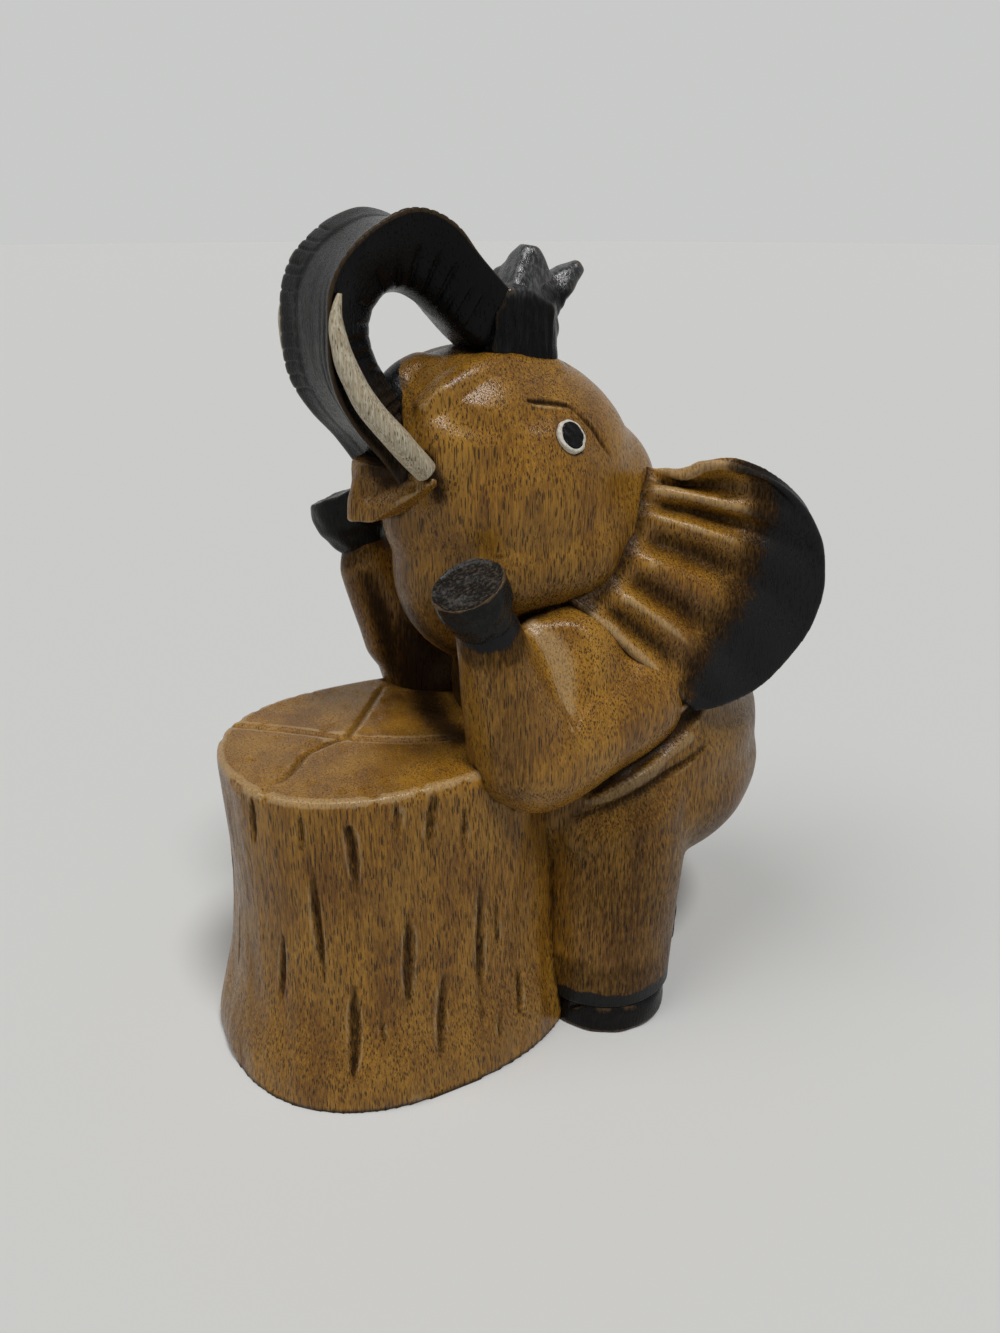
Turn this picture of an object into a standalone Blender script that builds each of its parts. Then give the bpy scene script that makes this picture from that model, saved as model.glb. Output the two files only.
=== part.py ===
"""A carved wooden elephant that stands behind a tree stump and leans on it.

The carving is made as separate solids, split where its carved and painted borders run.
Lengths are in millimetres here, and become metres when a piece is finished.
X points to the elephant's left, +Y to its rump and +Z up. Y = 0 lies between the elbows.
"""
import math

import bmesh
import bpy
from mathutils import Matrix, Vector
from mathutils.bvhtree import BVHTree

MM = 0.001
CLEARANCE = 0.32
FLAT_ANGLE = 1.0

# Stump: widths run along X, fronts and backs are places along Y
STUMP_HEIGHT = 81.0
STUMP_TOP_WIDTH = 64.0
STUMP_TOP_FRONT = -52.5
STUMP_TOP_BACK = 36.0
STUMP_WAIST_HEIGHT = 46.0
STUMP_WAIST_WIDTH = 68.0
STUMP_WAIST_FRONT = -51.5
STUMP_BASE_WIDTH = 81.0
STUMP_BASE_FRONT = -58.5
STUMP_BASE_BACK = 37.0
STUMP_MIDDLE = -14.0
STUMP_SQUARENESS = 2.3
STUMP_RIM = 1.5
STUMP_SIDES = 28

# Head: an egg, with the places on it measured from its centre
HEAD_Y = 24.0
HEAD_ABOVE_STUMP = 58.0
HEAD_WIDTH = 54.0
HEAD_LENGTH = 62.0
HEAD_HEIGHT = 62.0
THROAT_WIDTH = 38.0
MUZZLE_WIDTH = 38.0
BROW_WIDTH = 44.0
CHEEK_WIDTH = 27.0

# Trunk
TRUNK_WIDTH = 30.0
FINGER_THICKNESS = 17.0

# Tusks, eyes and lip
TUSK_THICKNESS = 6.0
EYE_LENGTH = 7.8
EYE_WIDTH = 6.4
PUPIL_LENGTH = 5.6
PUPIL_WIDTH = 4.4
EYE_DEPTH = 3.0
EYE_SLANT = -20.0
LIP_WIDTH = 34.0

# Ears
EARS_APART = 92.0
EAR_THICKNESS = 7.5
EAR_FLUTE_DEPTH = 1.6

# Arms
ELBOW_APART = 54.0
ELBOW_Y = 16.0
ELBOW_THICKNESS = 31.0
SHOULDER_APART = 45.0
SHOULDER_Y = 42.0
SHOULDER_ABOVE_STUMP = 7.5
SHOULDER_THICKNESS = 34.0
WRIST_APART = 62.0
WRIST_Y = 0.5
WRIST_ABOVE_STUMP = 35.0
WRIST_THICKNESS = 16.0
HOOF_WIDTH = 15.8
HOOF_LENGTH = 12.0
RIGHT_ARM_SHIFT = 2.5
RIGHT_HOOF_LIFT = 2.0

# Body, haunches, legs and feet
BACK_WIDTH = 56.0
BELLY_WIDTH = 74.0
RUMP_WIDTH = 78.0
RUMP_LENGTH = 88.0
RUMP_HEIGHT = 58.0
RUMP_Y = 55.0
RUMP_BELOW_STUMP = 23.0
WAIST_BELOW_STUMP = 33.4
WAIST_SLOPE = 0.47
LEG_APART = 49.0
LEG_THICKNESS = 41.0
ANKLE_THICKNESS = 36.0
FOOT_HEIGHT = 9.5
FOOT_WIDTH = 35.0
FOOT_LENGTH = 33.0

# Tail
TAIL_THICKNESS = 6.0
TUFT_THICKNESS = 8.5
TUFT_LENGTH = 22.0

# Landmarks worked out from the sizes
HEAD = Vector((0.0, HEAD_Y, STUMP_HEIGHT + HEAD_ABOVE_STUMP))
ELBOW = Vector((ELBOW_APART / 2, ELBOW_Y, STUMP_HEIGHT))
SHOULDER = Vector((SHOULDER_APART / 2, SHOULDER_Y, STUMP_HEIGHT + SHOULDER_ABOVE_STUMP))
WRIST = Vector((WRIST_APART / 2, WRIST_Y, STUMP_HEIGHT + WRIST_ABOVE_STUMP))
HOOF_AIM = Vector((0.16, -0.33, 0.93)).normalized()
WAIST_Z = STUMP_HEIGHT - WAIST_BELOW_STUMP
RUMP = Vector((0.0, RUMP_Y, STUMP_HEIGHT - RUMP_BELOW_STUMP))
HIP = Vector((LEG_APART / 2 - 1.5, RUMP_Y - 14.0, RUMP.z - 6.0))
ANKLE = Vector((LEG_APART / 2 + 1.5, RUMP_Y - 16.5, FOOT_HEIGHT))
TUFT_TOP = ANKLE + Vector((-14.0, ANKLE_THICKNESS / 2 + 13.5, TUFT_LENGTH - 2.0 - FOOT_HEIGHT))

LIGHT_WOOD = ((0.30, 0.13, 0.035), 0.38)
BLACK_PAINT = ((0.012, 0.012, 0.014), 0.35)
WORN_IVORY = ((0.52, 0.46, 0.34), 0.45)
WHITE_PAINT = ((0.75, 0.72, 0.64), 0.4)

for old in list(bpy.data.objects):
    bpy.data.objects.remove(old, do_unlink=True)
carving = bpy.data.collections.new("elephant_carving")
bpy.context.scene.collection.children.link(carving)
forms = {}


def evaluated(mesh, *settings):
    """The mesh after modifiers, each given as (type, {setting: value})."""
    holder = bpy.data.objects.new("holder", mesh)
    bpy.context.scene.collection.objects.link(holder)
    for kind, values in settings:
        modifier = holder.modifiers.new(kind.title(), kind)
        for key, value in values.items():
            setattr(modifier, key, value)
    graph = bpy.context.evaluated_depsgraph_get()
    result = bpy.data.meshes.new_from_object(holder.evaluated_get(graph))
    bpy.data.objects.remove(holder)
    return result


def to_mesh(bm, name="form"):
    mesh = bpy.data.meshes.new(name)
    bm.to_mesh(mesh)
    bm.free()
    return mesh


def ball(bm, centre, width, length, height, tilt=0.0):
    """An egg of full sizes along X, Y and Z, tipped about X by tilt degrees."""
    place = Matrix.Translation(centre) @ Matrix.Rotation(math.radians(tilt), 4, "X")
    scale = Matrix.Diagonal((width / 2, length / 2, height / 2, 1.0))
    bmesh.ops.create_uvsphere(bm, u_segments=32, v_segments=16, radius=1.0, matrix=place @ scale)


def limb(bm, start, end, start_thickness, end_thickness):
    """A tapered limb with round ends."""
    start, end = Vector(start), Vector(end)
    axis = end - start
    turn = axis.to_track_quat("Z", "Y").to_matrix().to_4x4()
    place = Matrix.Translation((start + end) / 2) @ turn
    bmesh.ops.create_cone(bm, cap_ends=True, segments=32, radius1=start_thickness / 2,
                          radius2=end_thickness / 2, depth=axis.length, matrix=place)
    ball(bm, start, start_thickness, start_thickness, start_thickness)
    ball(bm, end, end_thickness, end_thickness, end_thickness)


def blend(bm, faces, grain=1.3, passes=8, symmetric=False):
    """Melts overlapping shapes into one smooth form with about that many triangles."""
    fine = evaluated(to_mesh(bm), ("REMESH", {"mode": "VOXEL", "voxel_size": grain}),
                     ("SMOOTH", {"factor": 0.5, "iterations": passes}))
    ratio = faces / (2.0 * len(fine.polygons))
    coarse = evaluated(fine, ("TRIANGULATE", {}), ("DECIMATE", {"ratio": min(1.0, ratio)}))
    result = bmesh.new()
    result.from_mesh(coarse)
    if symmetric:
        everything = result.verts[:] + result.edges[:] + result.faces[:]
        bmesh.ops.symmetrize(result, input=everything, direction="X", dist=0.01)
    return result


def slice_off(bm, point, normal):
    """Cuts away what lies beyond a plane, and closes the cut with a flat face."""
    everything = bm.verts[:] + bm.edges[:] + bm.faces[:]
    cut = bmesh.ops.bisect_plane(bm, geom=everything, dist=0.001, plane_co=point,
                                 plane_no=normal, clear_outer=True)
    rim = [item for item in cut["geom_cut"] if isinstance(item, bmesh.types.BMEdge)]
    bmesh.ops.holes_fill(bm, edges=rim)


def smooth_line(points, steps):
    """A smooth curve through points, with that many steps between two of them."""
    points = [Vector(point) for point in points]
    line = []
    for index in range(len(points) - 1):
        before = points[max(index - 1, 0)]
        start, end = points[index], points[index + 1]
        after = points[min(index + 2, len(points) - 1)]
        for step in range(steps):
            t = step / steps
            line.append(0.5 * (2 * start + (end - before) * t
                               + (2 * before - 5 * start + 4 * end - after) * t ** 2
                               + (3 * start - before - 3 * end + after) * t ** 3))
    line.append(points[-1])
    return line


def rings_to_form(rings, keen=()):
    """Skins a row of rings and closes both ends. The lines of points named keen stay sharp."""
    bm = bmesh.new()
    rows = [[bm.verts.new(point) for point in ring] for ring in rings]
    count = len(rows[0])
    for low, high in zip(rows, rows[1:]):
        for index in range(count):
            following = (index + 1) % count
            bm.faces.new((low[index], low[following], high[following], high[index]))
    bm.faces.new(rows[0])
    bm.faces.new(rows[-1])
    bmesh.ops.recalc_face_normals(bm, faces=bm.faces)
    crease = bm.edges.layers.float.new("crease_edge")
    for low, high in zip(rows, rows[1:]):
        for index in keen:
            bm.edges.get((low[index], high[index]))[crease] = 0.8
    return bm


def tapered_curve(points, thicknesses, steps):
    """A round rod along a smooth line, with its own thickness at each point."""
    line = smooth_line(points, steps)
    sizes = smooth_line([(size, 0.0, 0.0) for size in thicknesses], steps)
    data = bpy.data.curves.new("rod", "CURVE")
    data.dimensions = "3D"
    data.bevel_depth = 0.5
    data.bevel_resolution = 2
    data.use_fill_caps = True
    spline = data.splines.new("POLY")
    spline.points.add(len(line) - 1)
    for place, point, size in zip(spline.points, line, sizes):
        place.co = (*point, 1.0)
        place.radius = size.x
    holder = bpy.data.objects.new("rod", data)
    bpy.context.scene.collection.objects.link(holder)
    graph = bpy.context.evaluated_depsgraph_get()
    mesh = bpy.data.meshes.new_from_object(holder.evaluated_get(graph))
    bpy.data.objects.remove(holder)
    bm = bmesh.new()
    bm.from_mesh(mesh)
    bmesh.ops.remove_doubles(bm, verts=bm.verts, dist=0.01)
    bmesh.ops.recalc_face_normals(bm, faces=bm.faces)
    return bm


def keep_form(name, bm):
    bmesh.ops.triangulate(bm, faces=bm.faces)
    bmesh.ops.recalc_face_normals(bm, faces=bm.faces)
    forms[name] = to_mesh(bm, name)


def other_side(name):
    """Keeps the mirror image of a left form as the right one."""
    bm = bmesh.new()
    bm.from_mesh(forms[name])
    bmesh.ops.scale(bm, vec=(-1.0, 1.0, 1.0), verts=bm.verts)
    bmesh.ops.reverse_faces(bm, faces=bm.faces)
    keep_form(name.replace("left", "right"), bm)


def swollen(mesh):
    """A copy of a form, grown by the clearance, to cut a neighbour with."""
    bm = bmesh.new()
    bm.from_mesh(mesh)
    bm.normal_update()
    moves = [(vertex, vertex.normal * min(vertex.calc_shell_factor(), 2.0)) for vertex in bm.verts]
    for vertex, move in moves:
        vertex.co += move * CLEARANCE
    return to_mesh(bm)


def biggest_body(bm):
    """Removes the loose chips that a cut leaves."""
    left = set(bm.faces)
    bodies = []
    while left:
        body, edge_of = set(), [left.pop()]
        while edge_of:
            face = edge_of.pop()
            body.add(face)
            for edge in face.edges:
                for other in edge.link_faces:
                    if other in left:
                        left.discard(other)
                        edge_of.append(other)
        bodies.append(body)
    bodies.sort(key=lambda body: sum(face.calc_area() for face in body))
    chips = [face for body in bodies[:-1] for face in body]
    bmesh.ops.delete(bm, geom=chips, context="FACES")


def finish(name, look, cut_by=()):
    """Cuts a form by its neighbours, and makes it a piece of the carving."""
    mesh = forms[name]
    for neighbour in cut_by:
        cutter = bpy.data.objects.new("cutter", swollen(forms[neighbour]))
        bpy.context.scene.collection.objects.link(cutter)
        mesh = evaluated(mesh, ("BOOLEAN", {"operation": "DIFFERENCE", "solver": "EXACT",
                                            "object": cutter}))
        bpy.data.objects.remove(cutter)
    bm = bmesh.new()
    bm.from_mesh(mesh)
    bmesh.ops.triangulate(bm, faces=bm.faces)
    bmesh.ops.remove_doubles(bm, verts=bm.verts, dist=0.02)
    bmesh.ops.dissolve_degenerate(bm, edges=bm.edges, dist=0.01)
    biggest_body(bm)
    bmesh.ops.dissolve_limit(bm, angle_limit=math.radians(FLAT_ANGLE), verts=bm.verts,
                             edges=bm.edges)
    bmesh.ops.triangulate(bm, faces=bm.faces)
    bmesh.ops.scale(bm, vec=(MM, MM, MM), verts=bm.verts)
    mesh = to_mesh(bm, name)
    mesh.shade_smooth()
    mesh.set_sharp_from_angle(angle=math.radians(40))
    piece = bpy.data.objects.new(name, mesh)
    carving.objects.link(piece)
    colour, roughness = look
    material = bpy.data.materials.new(name)
    material.use_nodes = True
    shader = material.node_tree.nodes["Principled BSDF"]
    shader.inputs["Base Color"].default_value = (*colour, 1.0)
    shader.inputs["Roughness"].default_value = roughness
    mesh.materials.append(material)
    return piece


def finish_pair(name, look, cut_by=()):
    """Finishes a left form, and its mirror image on the right."""
    left = finish(name, look, cut_by)
    right = left.copy()
    right.name = name.replace("left", "right")
    right.data = left.data.copy()
    right.data.name = right.name
    right.data.transform(Matrix.Diagonal((-1.0, 1.0, 1.0, 1.0)))
    right.data.flip_normals()
    carving.objects.link(right)
    return left, right


def stump_form():
    """Flared at the base, waisted half way up, flat on top and below."""
    flare = STUMP_WAIST_HEIGHT
    heights = (0.0, flare * 0.18, flare * 0.52, flare, (flare + STUMP_HEIGHT * 2) / 3,
               STUMP_HEIGHT - STUMP_RIM, STUMP_HEIGHT)
    waist_to_base = (1.0, 0.86, 0.28, 0.0)
    rings = []
    for index, height in enumerate(heights):
        if index < len(waist_to_base):
            share = waist_to_base[index]
            width = STUMP_WAIST_WIDTH + (STUMP_BASE_WIDTH - STUMP_WAIST_WIDTH) * share
            front = STUMP_WAIST_FRONT + (STUMP_BASE_FRONT - STUMP_WAIST_FRONT) * share
            back = STUMP_TOP_BACK + (STUMP_BASE_BACK - STUMP_TOP_BACK) * share
        else:
            share = (height - STUMP_WAIST_HEIGHT) / (STUMP_HEIGHT - STUMP_WAIST_HEIGHT)
            width = STUMP_WAIST_WIDTH + (STUMP_TOP_WIDTH - STUMP_WAIST_WIDTH) * share
            front = STUMP_WAIST_FRONT + (STUMP_TOP_FRONT - STUMP_WAIST_FRONT) * share ** 1.5
            back = STUMP_TOP_BACK
        inset = STUMP_RIM if height == STUMP_HEIGHT else 0.0
        half_width = width / 2 - inset
        ring = []
        for step in range(STUMP_SIDES):
            angle = 2 * math.pi * step / STUMP_SIDES
            side, ahead = math.cos(angle), math.sin(angle)
            power = 2.0 / STUMP_SQUARENESS
            reach = (back if ahead > 0 else 2 * STUMP_MIDDLE - front) - STUMP_MIDDLE - inset
            ring.append((math.copysign(abs(side) ** power, side) * half_width,
                         STUMP_MIDDLE + math.copysign(abs(ahead) ** power, ahead) * reach, height))
        rings.append(ring)
    keep_form("stump", rings_to_form(rings))


def head_form():
    """The skull, brow, muzzle and throat, melted into one egg."""
    bm = bmesh.new()
    ball(bm, HEAD, HEAD_WIDTH, HEAD_LENGTH, HEAD_HEIGHT)
    ball(bm, HEAD + Vector((0, -10, 13)), BROW_WIDTH, 52, 40)
    ball(bm, HEAD + Vector((0, -22.5, 12)), MUZZLE_WIDTH, 26, 37)
    ball(bm, HEAD + Vector((0, -20, -14)), THROAT_WIDTH, 28, 44)
    ball(bm, HEAD + Vector((0, -12, -10)), THROAT_WIDTH + 10, 40, 44)
    ball(bm, HEAD + Vector((0, 14, -4)), BROW_WIDTH, 49, 43)
    for side in (-1, 1):
        ball(bm, HEAD + Vector((side * (HEAD_WIDTH / 2 - CHEEK_WIDTH / 2 - 1), 8, -9)),
             CHEEK_WIDTH, 42, 36)
    keep_form("head", blend(bm, 1250, passes=16, symmetric=True))


def body_forms():
    """Neck, back, belly, rump and legs in one flow, split at the waist and between the legs."""
    bm = bmesh.new()
    ball(bm, (0, HEAD_Y + 20, STUMP_HEIGHT + 34), BACK_WIDTH, 68, 56)
    ball(bm, (0, RUMP.y - 3, STUMP_HEIGHT + 3), BELLY_WIDTH, RUMP_LENGTH - 4, 64)
    ball(bm, (0, RUMP.y - 14, STUMP_HEIGHT - 10), BELLY_WIDTH + 5, 64, 40)
    ball(bm, (0, RUMP.y - 8, STUMP_HEIGHT + 19), BACK_WIDTH + 12, 77, 56)
    limb(bm, (0, 20, STUMP_HEIGHT + 14), (0, 22, STUMP_HEIGHT + 30), 34, 34)
    ball(bm, RUMP, RUMP_WIDTH, RUMP_LENGTH, RUMP_HEIGHT)
    ball(bm, RUMP + Vector((0, -14, 4)), RUMP_WIDTH + 2, RUMP_LENGTH - 26, RUMP_HEIGHT)
    ball(bm, RUMP + Vector((0, -1.5, 12)), RUMP_WIDTH, RUMP_LENGTH, RUMP_HEIGHT)
    for side in (-1, 1):
        across = Matrix.Diagonal((side, 1.0, 1.0))
        limb(bm, across @ HIP, across @ ANKLE, LEG_THICKNESS, ANKLE_THICKNESS)
        limb(bm, across @ ANKLE, across @ (ANKLE - Vector((0, 0, 12))), ANKLE_THICKNESS,
             ANKLE_THICKNESS)
    body = blend(bm, 2400, passes=30, symmetric=True)
    haunch = body.copy()
    slice_off(body, (0, 0, WAIST_Z + CLEARANCE), (0, WAIST_SLOPE, -1))
    keep_form("torso", body)
    slice_off(haunch, (CLEARANCE / 2, 0, 0), (-1, 0, 0))
    slice_off(haunch, (0, 0, WAIST_Z), (0, -WAIST_SLOPE, 1))
    slice_off(haunch, (0, 0, FOOT_HEIGHT + CLEARANCE), (0, 0, -1))
    keep_form("left_haunch", haunch)


def foot_form():
    """A round black foot, flat above and below."""
    bm = bmesh.new()
    place = Matrix.Translation((ANKLE.x + 0.5, ANKLE.y - 0.5, FOOT_HEIGHT / 2))
    scale = Matrix.Diagonal((FOOT_WIDTH / 2, FOOT_LENGTH / 2, 1.0, 1.0))
    bmesh.ops.create_cone(bm, cap_ends=True, segments=28, radius1=1.0, radius2=1.0,
                          depth=FOOT_HEIGHT, matrix=place @ scale)
    rims = [edge for edge in bm.edges if len(edge.link_faces[0].verts) > 4
            or len(edge.link_faces[1].verts) > 4]
    top = [edge for edge in rims if edge.verts[0].co.z > FOOT_HEIGHT / 2]
    bottom = [edge for edge in rims if edge.verts[0].co.z < FOOT_HEIGHT / 2]
    bmesh.ops.bevel(bm, geom=top, offset=3.0, segments=3, profile=0.5, affect="EDGES", material=-1)
    bmesh.ops.bevel(bm, geom=bottom, offset=1.0, segments=2, profile=0.5, affect="EDGES",
                    material=-1)
    keep_form("left_hind_foot", bm)


def arm_forms(side, name, shift, lift):
    """Upper arm, forearm and the hoof beside the cheek. The right arm leans a little more."""
    across = Matrix.Diagonal((side, 1.0, 1.0))
    elbow = across @ (ELBOW + Vector((0, shift, 0)))
    shoulder = across @ SHOULDER
    wrist = across @ (WRIST + Vector((0, -shift, lift)))
    aim = across @ HOOF_AIM
    bm = bmesh.new()
    limb(bm, shoulder, elbow, SHOULDER_THICKNESS, ELBOW_THICKNESS)
    ball(bm, across @ Vector((SHOULDER.x - 2, ELBOW.y + 9, STUMP_HEIGHT + 17)), 30, 32, 32)
    keep_form(name + "_upper_arm", blend(bm, 520))
    bm = bmesh.new()
    limb(bm, elbow + Vector((side, -4, 1)), wrist, ELBOW_THICKNESS - 3, WRIST_THICKNESS)
    bm = blend(bm, 360)
    slice_off(bm, wrist + aim * CLEARANCE, aim)
    keep_form(name + "_forearm", bm)
    bm = bmesh.new()
    turn = aim.to_track_quat("Z", "Y").to_matrix().to_4x4()
    place = Matrix.Translation(wrist + aim * (HOOF_LENGTH / 2 + CLEARANCE * 2)) @ turn
    bmesh.ops.create_cone(bm, cap_ends=True, segments=24, radius1=WRIST_THICKNESS / 2,
                          radius2=HOOF_WIDTH / 2, depth=HOOF_LENGTH, matrix=place)
    keep_form(name + "_fore_hoof", bm)


def ear_form():
    """A fan of flutes from the cheek crease to the round outer margin."""
    cheek, spread = HEAD_WIDTH / 2, EARS_APART / 2
    root = ((cheek - 3.5, -9, -24), (cheek - 3, -2, -22), (cheek - 3, 5, -18.5),
            (cheek - 3.5, 12.5, -13.5), (cheek - 4.5, 19, -6), (cheek - 7.5, 23, 0.5),
            (cheek - 12, 28, 5.5))
    margin = ((spread - 8.5, 32.5, -53.5), (spread - 4, 47, -46.5), (spread - 1.5, 56.5, -37),
              (spread, 63, -25.5), (spread, 62.5, -12), (spread - 3.5, 55.5, -1.5),
              (spread - 10, 44, 5))
    root, margin = ([HEAD + point for point in smooth_line(line, 2)] for line in (root, margin))
    bm = bmesh.new()
    rows = []
    for index, (inner, outer) in enumerate(zip(root, margin)):
        row = []
        for step in range(5):
            share = step / 4
            bow = Vector((1.0, 0.0, 0.0)) * math.sin(math.pi * share) * 2.0
            edge = 0.0 if index in (0, len(root) - 1) else 1.0
            flute = EAR_FLUTE_DEPTH * math.sin(math.pi * share) * (1 if index % 2 else -0.6) * edge
            place = inner.lerp(outer, share) + bow - Vector((flute, 0.0, 0.0))
            row.append(bm.verts.new(place))
        rows.append(row)
    for low, high in zip(rows, rows[1:]):
        for step in range(4):
            bm.faces.new((low[step], low[step + 1], high[step + 1], high[step]))
    bm.normal_update()
    if sum(face.normal.x for face in bm.faces) < 0:
        bmesh.ops.reverse_faces(bm, faces=bm.faces)
    mesh = evaluated(to_mesh(bm), ("SOLIDIFY", {"thickness": EAR_THICKNESS, "offset": -1.0}),
                     ("SUBSURF", {"levels": 1, "render_levels": 1}))
    bm = bmesh.new()
    bm.from_mesh(mesh)
    keep_form("left_ear", bm)


def trunk_forms():
    """The trunk's loop, wide outside and narrow inside, and the two fingers at its tip."""
    outer = ((-35, 6), (-39.5, 12.5), (-44.5, 18.5), (-48.5, 25.5), (-50, 32), (-50, 39),
             (-49.3, 46), (-46.8, 51.5), (-42.5, 56), (-37, 59.5), (-31, 61.6), (-25.5, 61),
             (-20, 58), (-15, 53), (-10, 48.3), (-4, 43))
    inner = ((-20, 13), (-24, 18), (-29.5, 23.5), (-34, 29.5), (-36, 34), (-36.6, 38),
             (-35.8, 41.2), (-34.4, 43.2), (-33, 44.4), (-31.5, 45), (-29.3, 45.2), (-27, 44.6),
             (-24, 42.8), (-20.5, 39.8), (-16.5, 36.5), (-12, 32))
    widths = (0.86, 0.92, 0.96, 1.0, 1.0, 1.0, 1.0, 1.0, 1.0, 1.0, 0.98, 0.96, 0.92, 0.86, 0.8,
              0.72)
    section = ((0.0, -1.05), (0.42, -0.8), (0.72, -0.1), (0.93, 0.55), (1.0, 1.0), (0.6, 1.0),
               (0.0, 0.93))
    section = section + tuple((-u, v) for u, v in reversed(section[1:-1]))
    rings = []
    for (outer_y, outer_z), (inner_y, inner_z), share in zip(outer, inner, widths):
        far = HEAD + Vector((0, outer_y, outer_z))
        near = HEAD + Vector((0, inner_y, inner_z))
        middle, reach = (far + near) / 2, (far - near) / 2
        rings.append([middle + reach * v + Vector((TRUNK_WIDTH / 2 * share * u, 0, 0))
                      for u, v in section])
    loop = rings_to_form(rings, keen=(4, len(section) - 4))
    mesh = evaluated(to_mesh(loop), ("SUBSURF", {"levels": 1, "render_levels": 1}))
    bm = bmesh.new()
    bm.from_mesh(mesh)
    keep_form("trunk", bm)
    bm = bmesh.new()
    ball(bm, HEAD + Vector((0, -1, 36)), 22, 22, 16)
    limb(bm, HEAD + Vector((1, 0, 39)), HEAD + Vector((3, 3, 50.5)), FINGER_THICKNESS, 6)
    limb(bm, HEAD + Vector((-1, 6, 37)), HEAD + Vector((-3, 16.5, 47.5)), FINGER_THICKNESS - 4, 5)
    keep_form("trunk_tip", blend(bm, 460, grain=0.9, passes=4))


def tusk_form():
    """A tapered tusk that lies along the side of the trunk."""
    beside = TRUNK_WIDTH / 2
    path = ((beside + 3.2, -31, 11), (beside + 3.5, -37.1, 16.6), (beside + 3, -42.8, 23.4),
            (beside + 2, -46.3, 30.2), (beside + 1, -48.1, 36.6), (beside + 0.3, -48.4, 41.6),
            (beside, -47.2, 45.7))
    points = [HEAD + Vector(place) for place in path]
    sizes = [TUSK_THICKNESS * share for share in (1.0, 1.0, 0.95, 0.85, 0.7, 0.5, 0.2)]
    keep_form("left_tusk", tapered_curve(points, sizes, 3))


def lip_form():
    """The pointed lower lip, like the spout of a jug."""
    bm = bmesh.new()
    tip_top = HEAD + Vector((0, -39, 7))
    tip_low = HEAD + Vector((0, -40.3, -2))
    limb(bm, tip_top, tip_low, 4, 5)
    ball(bm, HEAD + Vector((0, -31, 2)), LIP_WIDTH - 6, 17, 13)
    for side in (-1, 1):
        corner = HEAD + Vector((side * (LIP_WIDTH / 2 - 2), -30, 4.5))
        limb(bm, tip_low, corner, 5, 6)
        limb(bm, tip_top, corner, 4, 6)
    keep_form("lower_lip", blend(bm, 340, grain=0.8, passes=4, symmetric=True))


def eye_forms():
    """A painted eye, set into the side of the head as an inlay."""
    head = bmesh.new()
    head.from_mesh(forms["head"])
    place, normal, _, _ = BVHTree.FromBMesh(head).ray_cast(
        Vector((HEAD_WIDTH, HEAD.y + 2.2, HEAD.z + 15.0)), Vector((-1, 0, 0)))
    head.free()
    turn = normal.to_track_quat("Z", "Y").to_matrix().to_4x4()
    turn @= Matrix.Rotation(math.radians(EYE_SLANT), 4, "Z")
    for name, length, width, proud in (("left_eye_white", EYE_LENGTH, EYE_WIDTH, 0.5),
                                       ("left_pupil", PUPIL_LENGTH, PUPIL_WIDTH, 0.8)):
        bm = bmesh.new()
        depth = EYE_DEPTH + proud
        stand = Matrix.Translation(place + normal * (proud - depth / 2))
        scale = Matrix.Diagonal((width / 2, length / 2, 1.0, 1.0))
        bmesh.ops.create_cone(bm, cap_ends=True, segments=24, radius1=1.0, radius2=1.0,
                              depth=depth, matrix=stand @ turn @ scale)
        keep_form(name, bm)


def tail_forms():
    """The tail falls from the rump, and its tuft rests against the left heel."""
    behind = RUMP_LENGTH / 2
    path = ((0, behind - 1, 14), (0, behind + 0.5, 0), (0.5, behind - 4.5, -15),
            (3, behind - 15, -23.5), (8, behind - 25, -31))
    points = [RUMP + Vector(place) for place in path] + [TUFT_TOP + Vector((0, 0, 1))]
    keep_form("tail", tapered_curve(points, [TAIL_THICKNESS * share
                                             for share in (1.1, 1.0, 0.95, 0.9, 0.85, 0.8)], 3))
    bm = bmesh.new()
    middle = TUFT_TOP + Vector((3, -3, 2 - TUFT_LENGTH / 2))
    low = TUFT_TOP + Vector((5, -4, 5 - TUFT_LENGTH))
    limb(bm, TUFT_TOP, middle, TAIL_THICKNESS, TUFT_THICKNESS)
    limb(bm, middle, low, TUFT_THICKNESS, TUFT_THICKNESS * 0.8)
    bm = blend(bm, 260, grain=0.8, passes=3)
    slice_off(bm, (0, 0, 0.4), (0, 0, -1))
    keep_form("tail_tuft", bm)


for make in (stump_form, head_form, body_forms, foot_form, ear_form,
             trunk_forms, tusk_form, lip_form, eye_forms, tail_forms):
    make()
arm_forms(1, "left", 0.0, 0.0)
arm_forms(-1, "right", RIGHT_ARM_SHIFT, RIGHT_HOOF_LIFT)
for name in ("left_haunch", "left_ear", "left_eye_white"):
    other_side(name)

finish("stump", LIGHT_WOOD)
finish("head", LIGHT_WOOD, ("left_eye_white", "right_eye_white"))
finish_pair("left_ear", LIGHT_WOOD, ("head",))
for side in ("left", "right"):
    finish(side + "_upper_arm", LIGHT_WOOD, ("head", "stump", side + "_ear"))
    finish(side + "_haunch", LIGHT_WOOD, ("stump", side + "_upper_arm"))
finish("torso", LIGHT_WOOD, ("stump", "head", "left_upper_arm", "right_upper_arm", "left_ear",
                             "right_ear"))
for side in ("left", "right"):
    finish(side + "_forearm", LIGHT_WOOD, ("stump", "head", side + "_upper_arm", "torso"))
    finish(side + "_fore_hoof", BLACK_PAINT, ("head", side + "_upper_arm", side + "_ear"))
finish_pair("left_hind_foot", BLACK_PAINT, ("stump",))
finish("trunk", BLACK_PAINT, ("head",))
finish("trunk_tip", BLACK_PAINT, ("head", "trunk"))
finish("lower_lip", LIGHT_WOOD, ("head", "trunk"))
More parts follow.
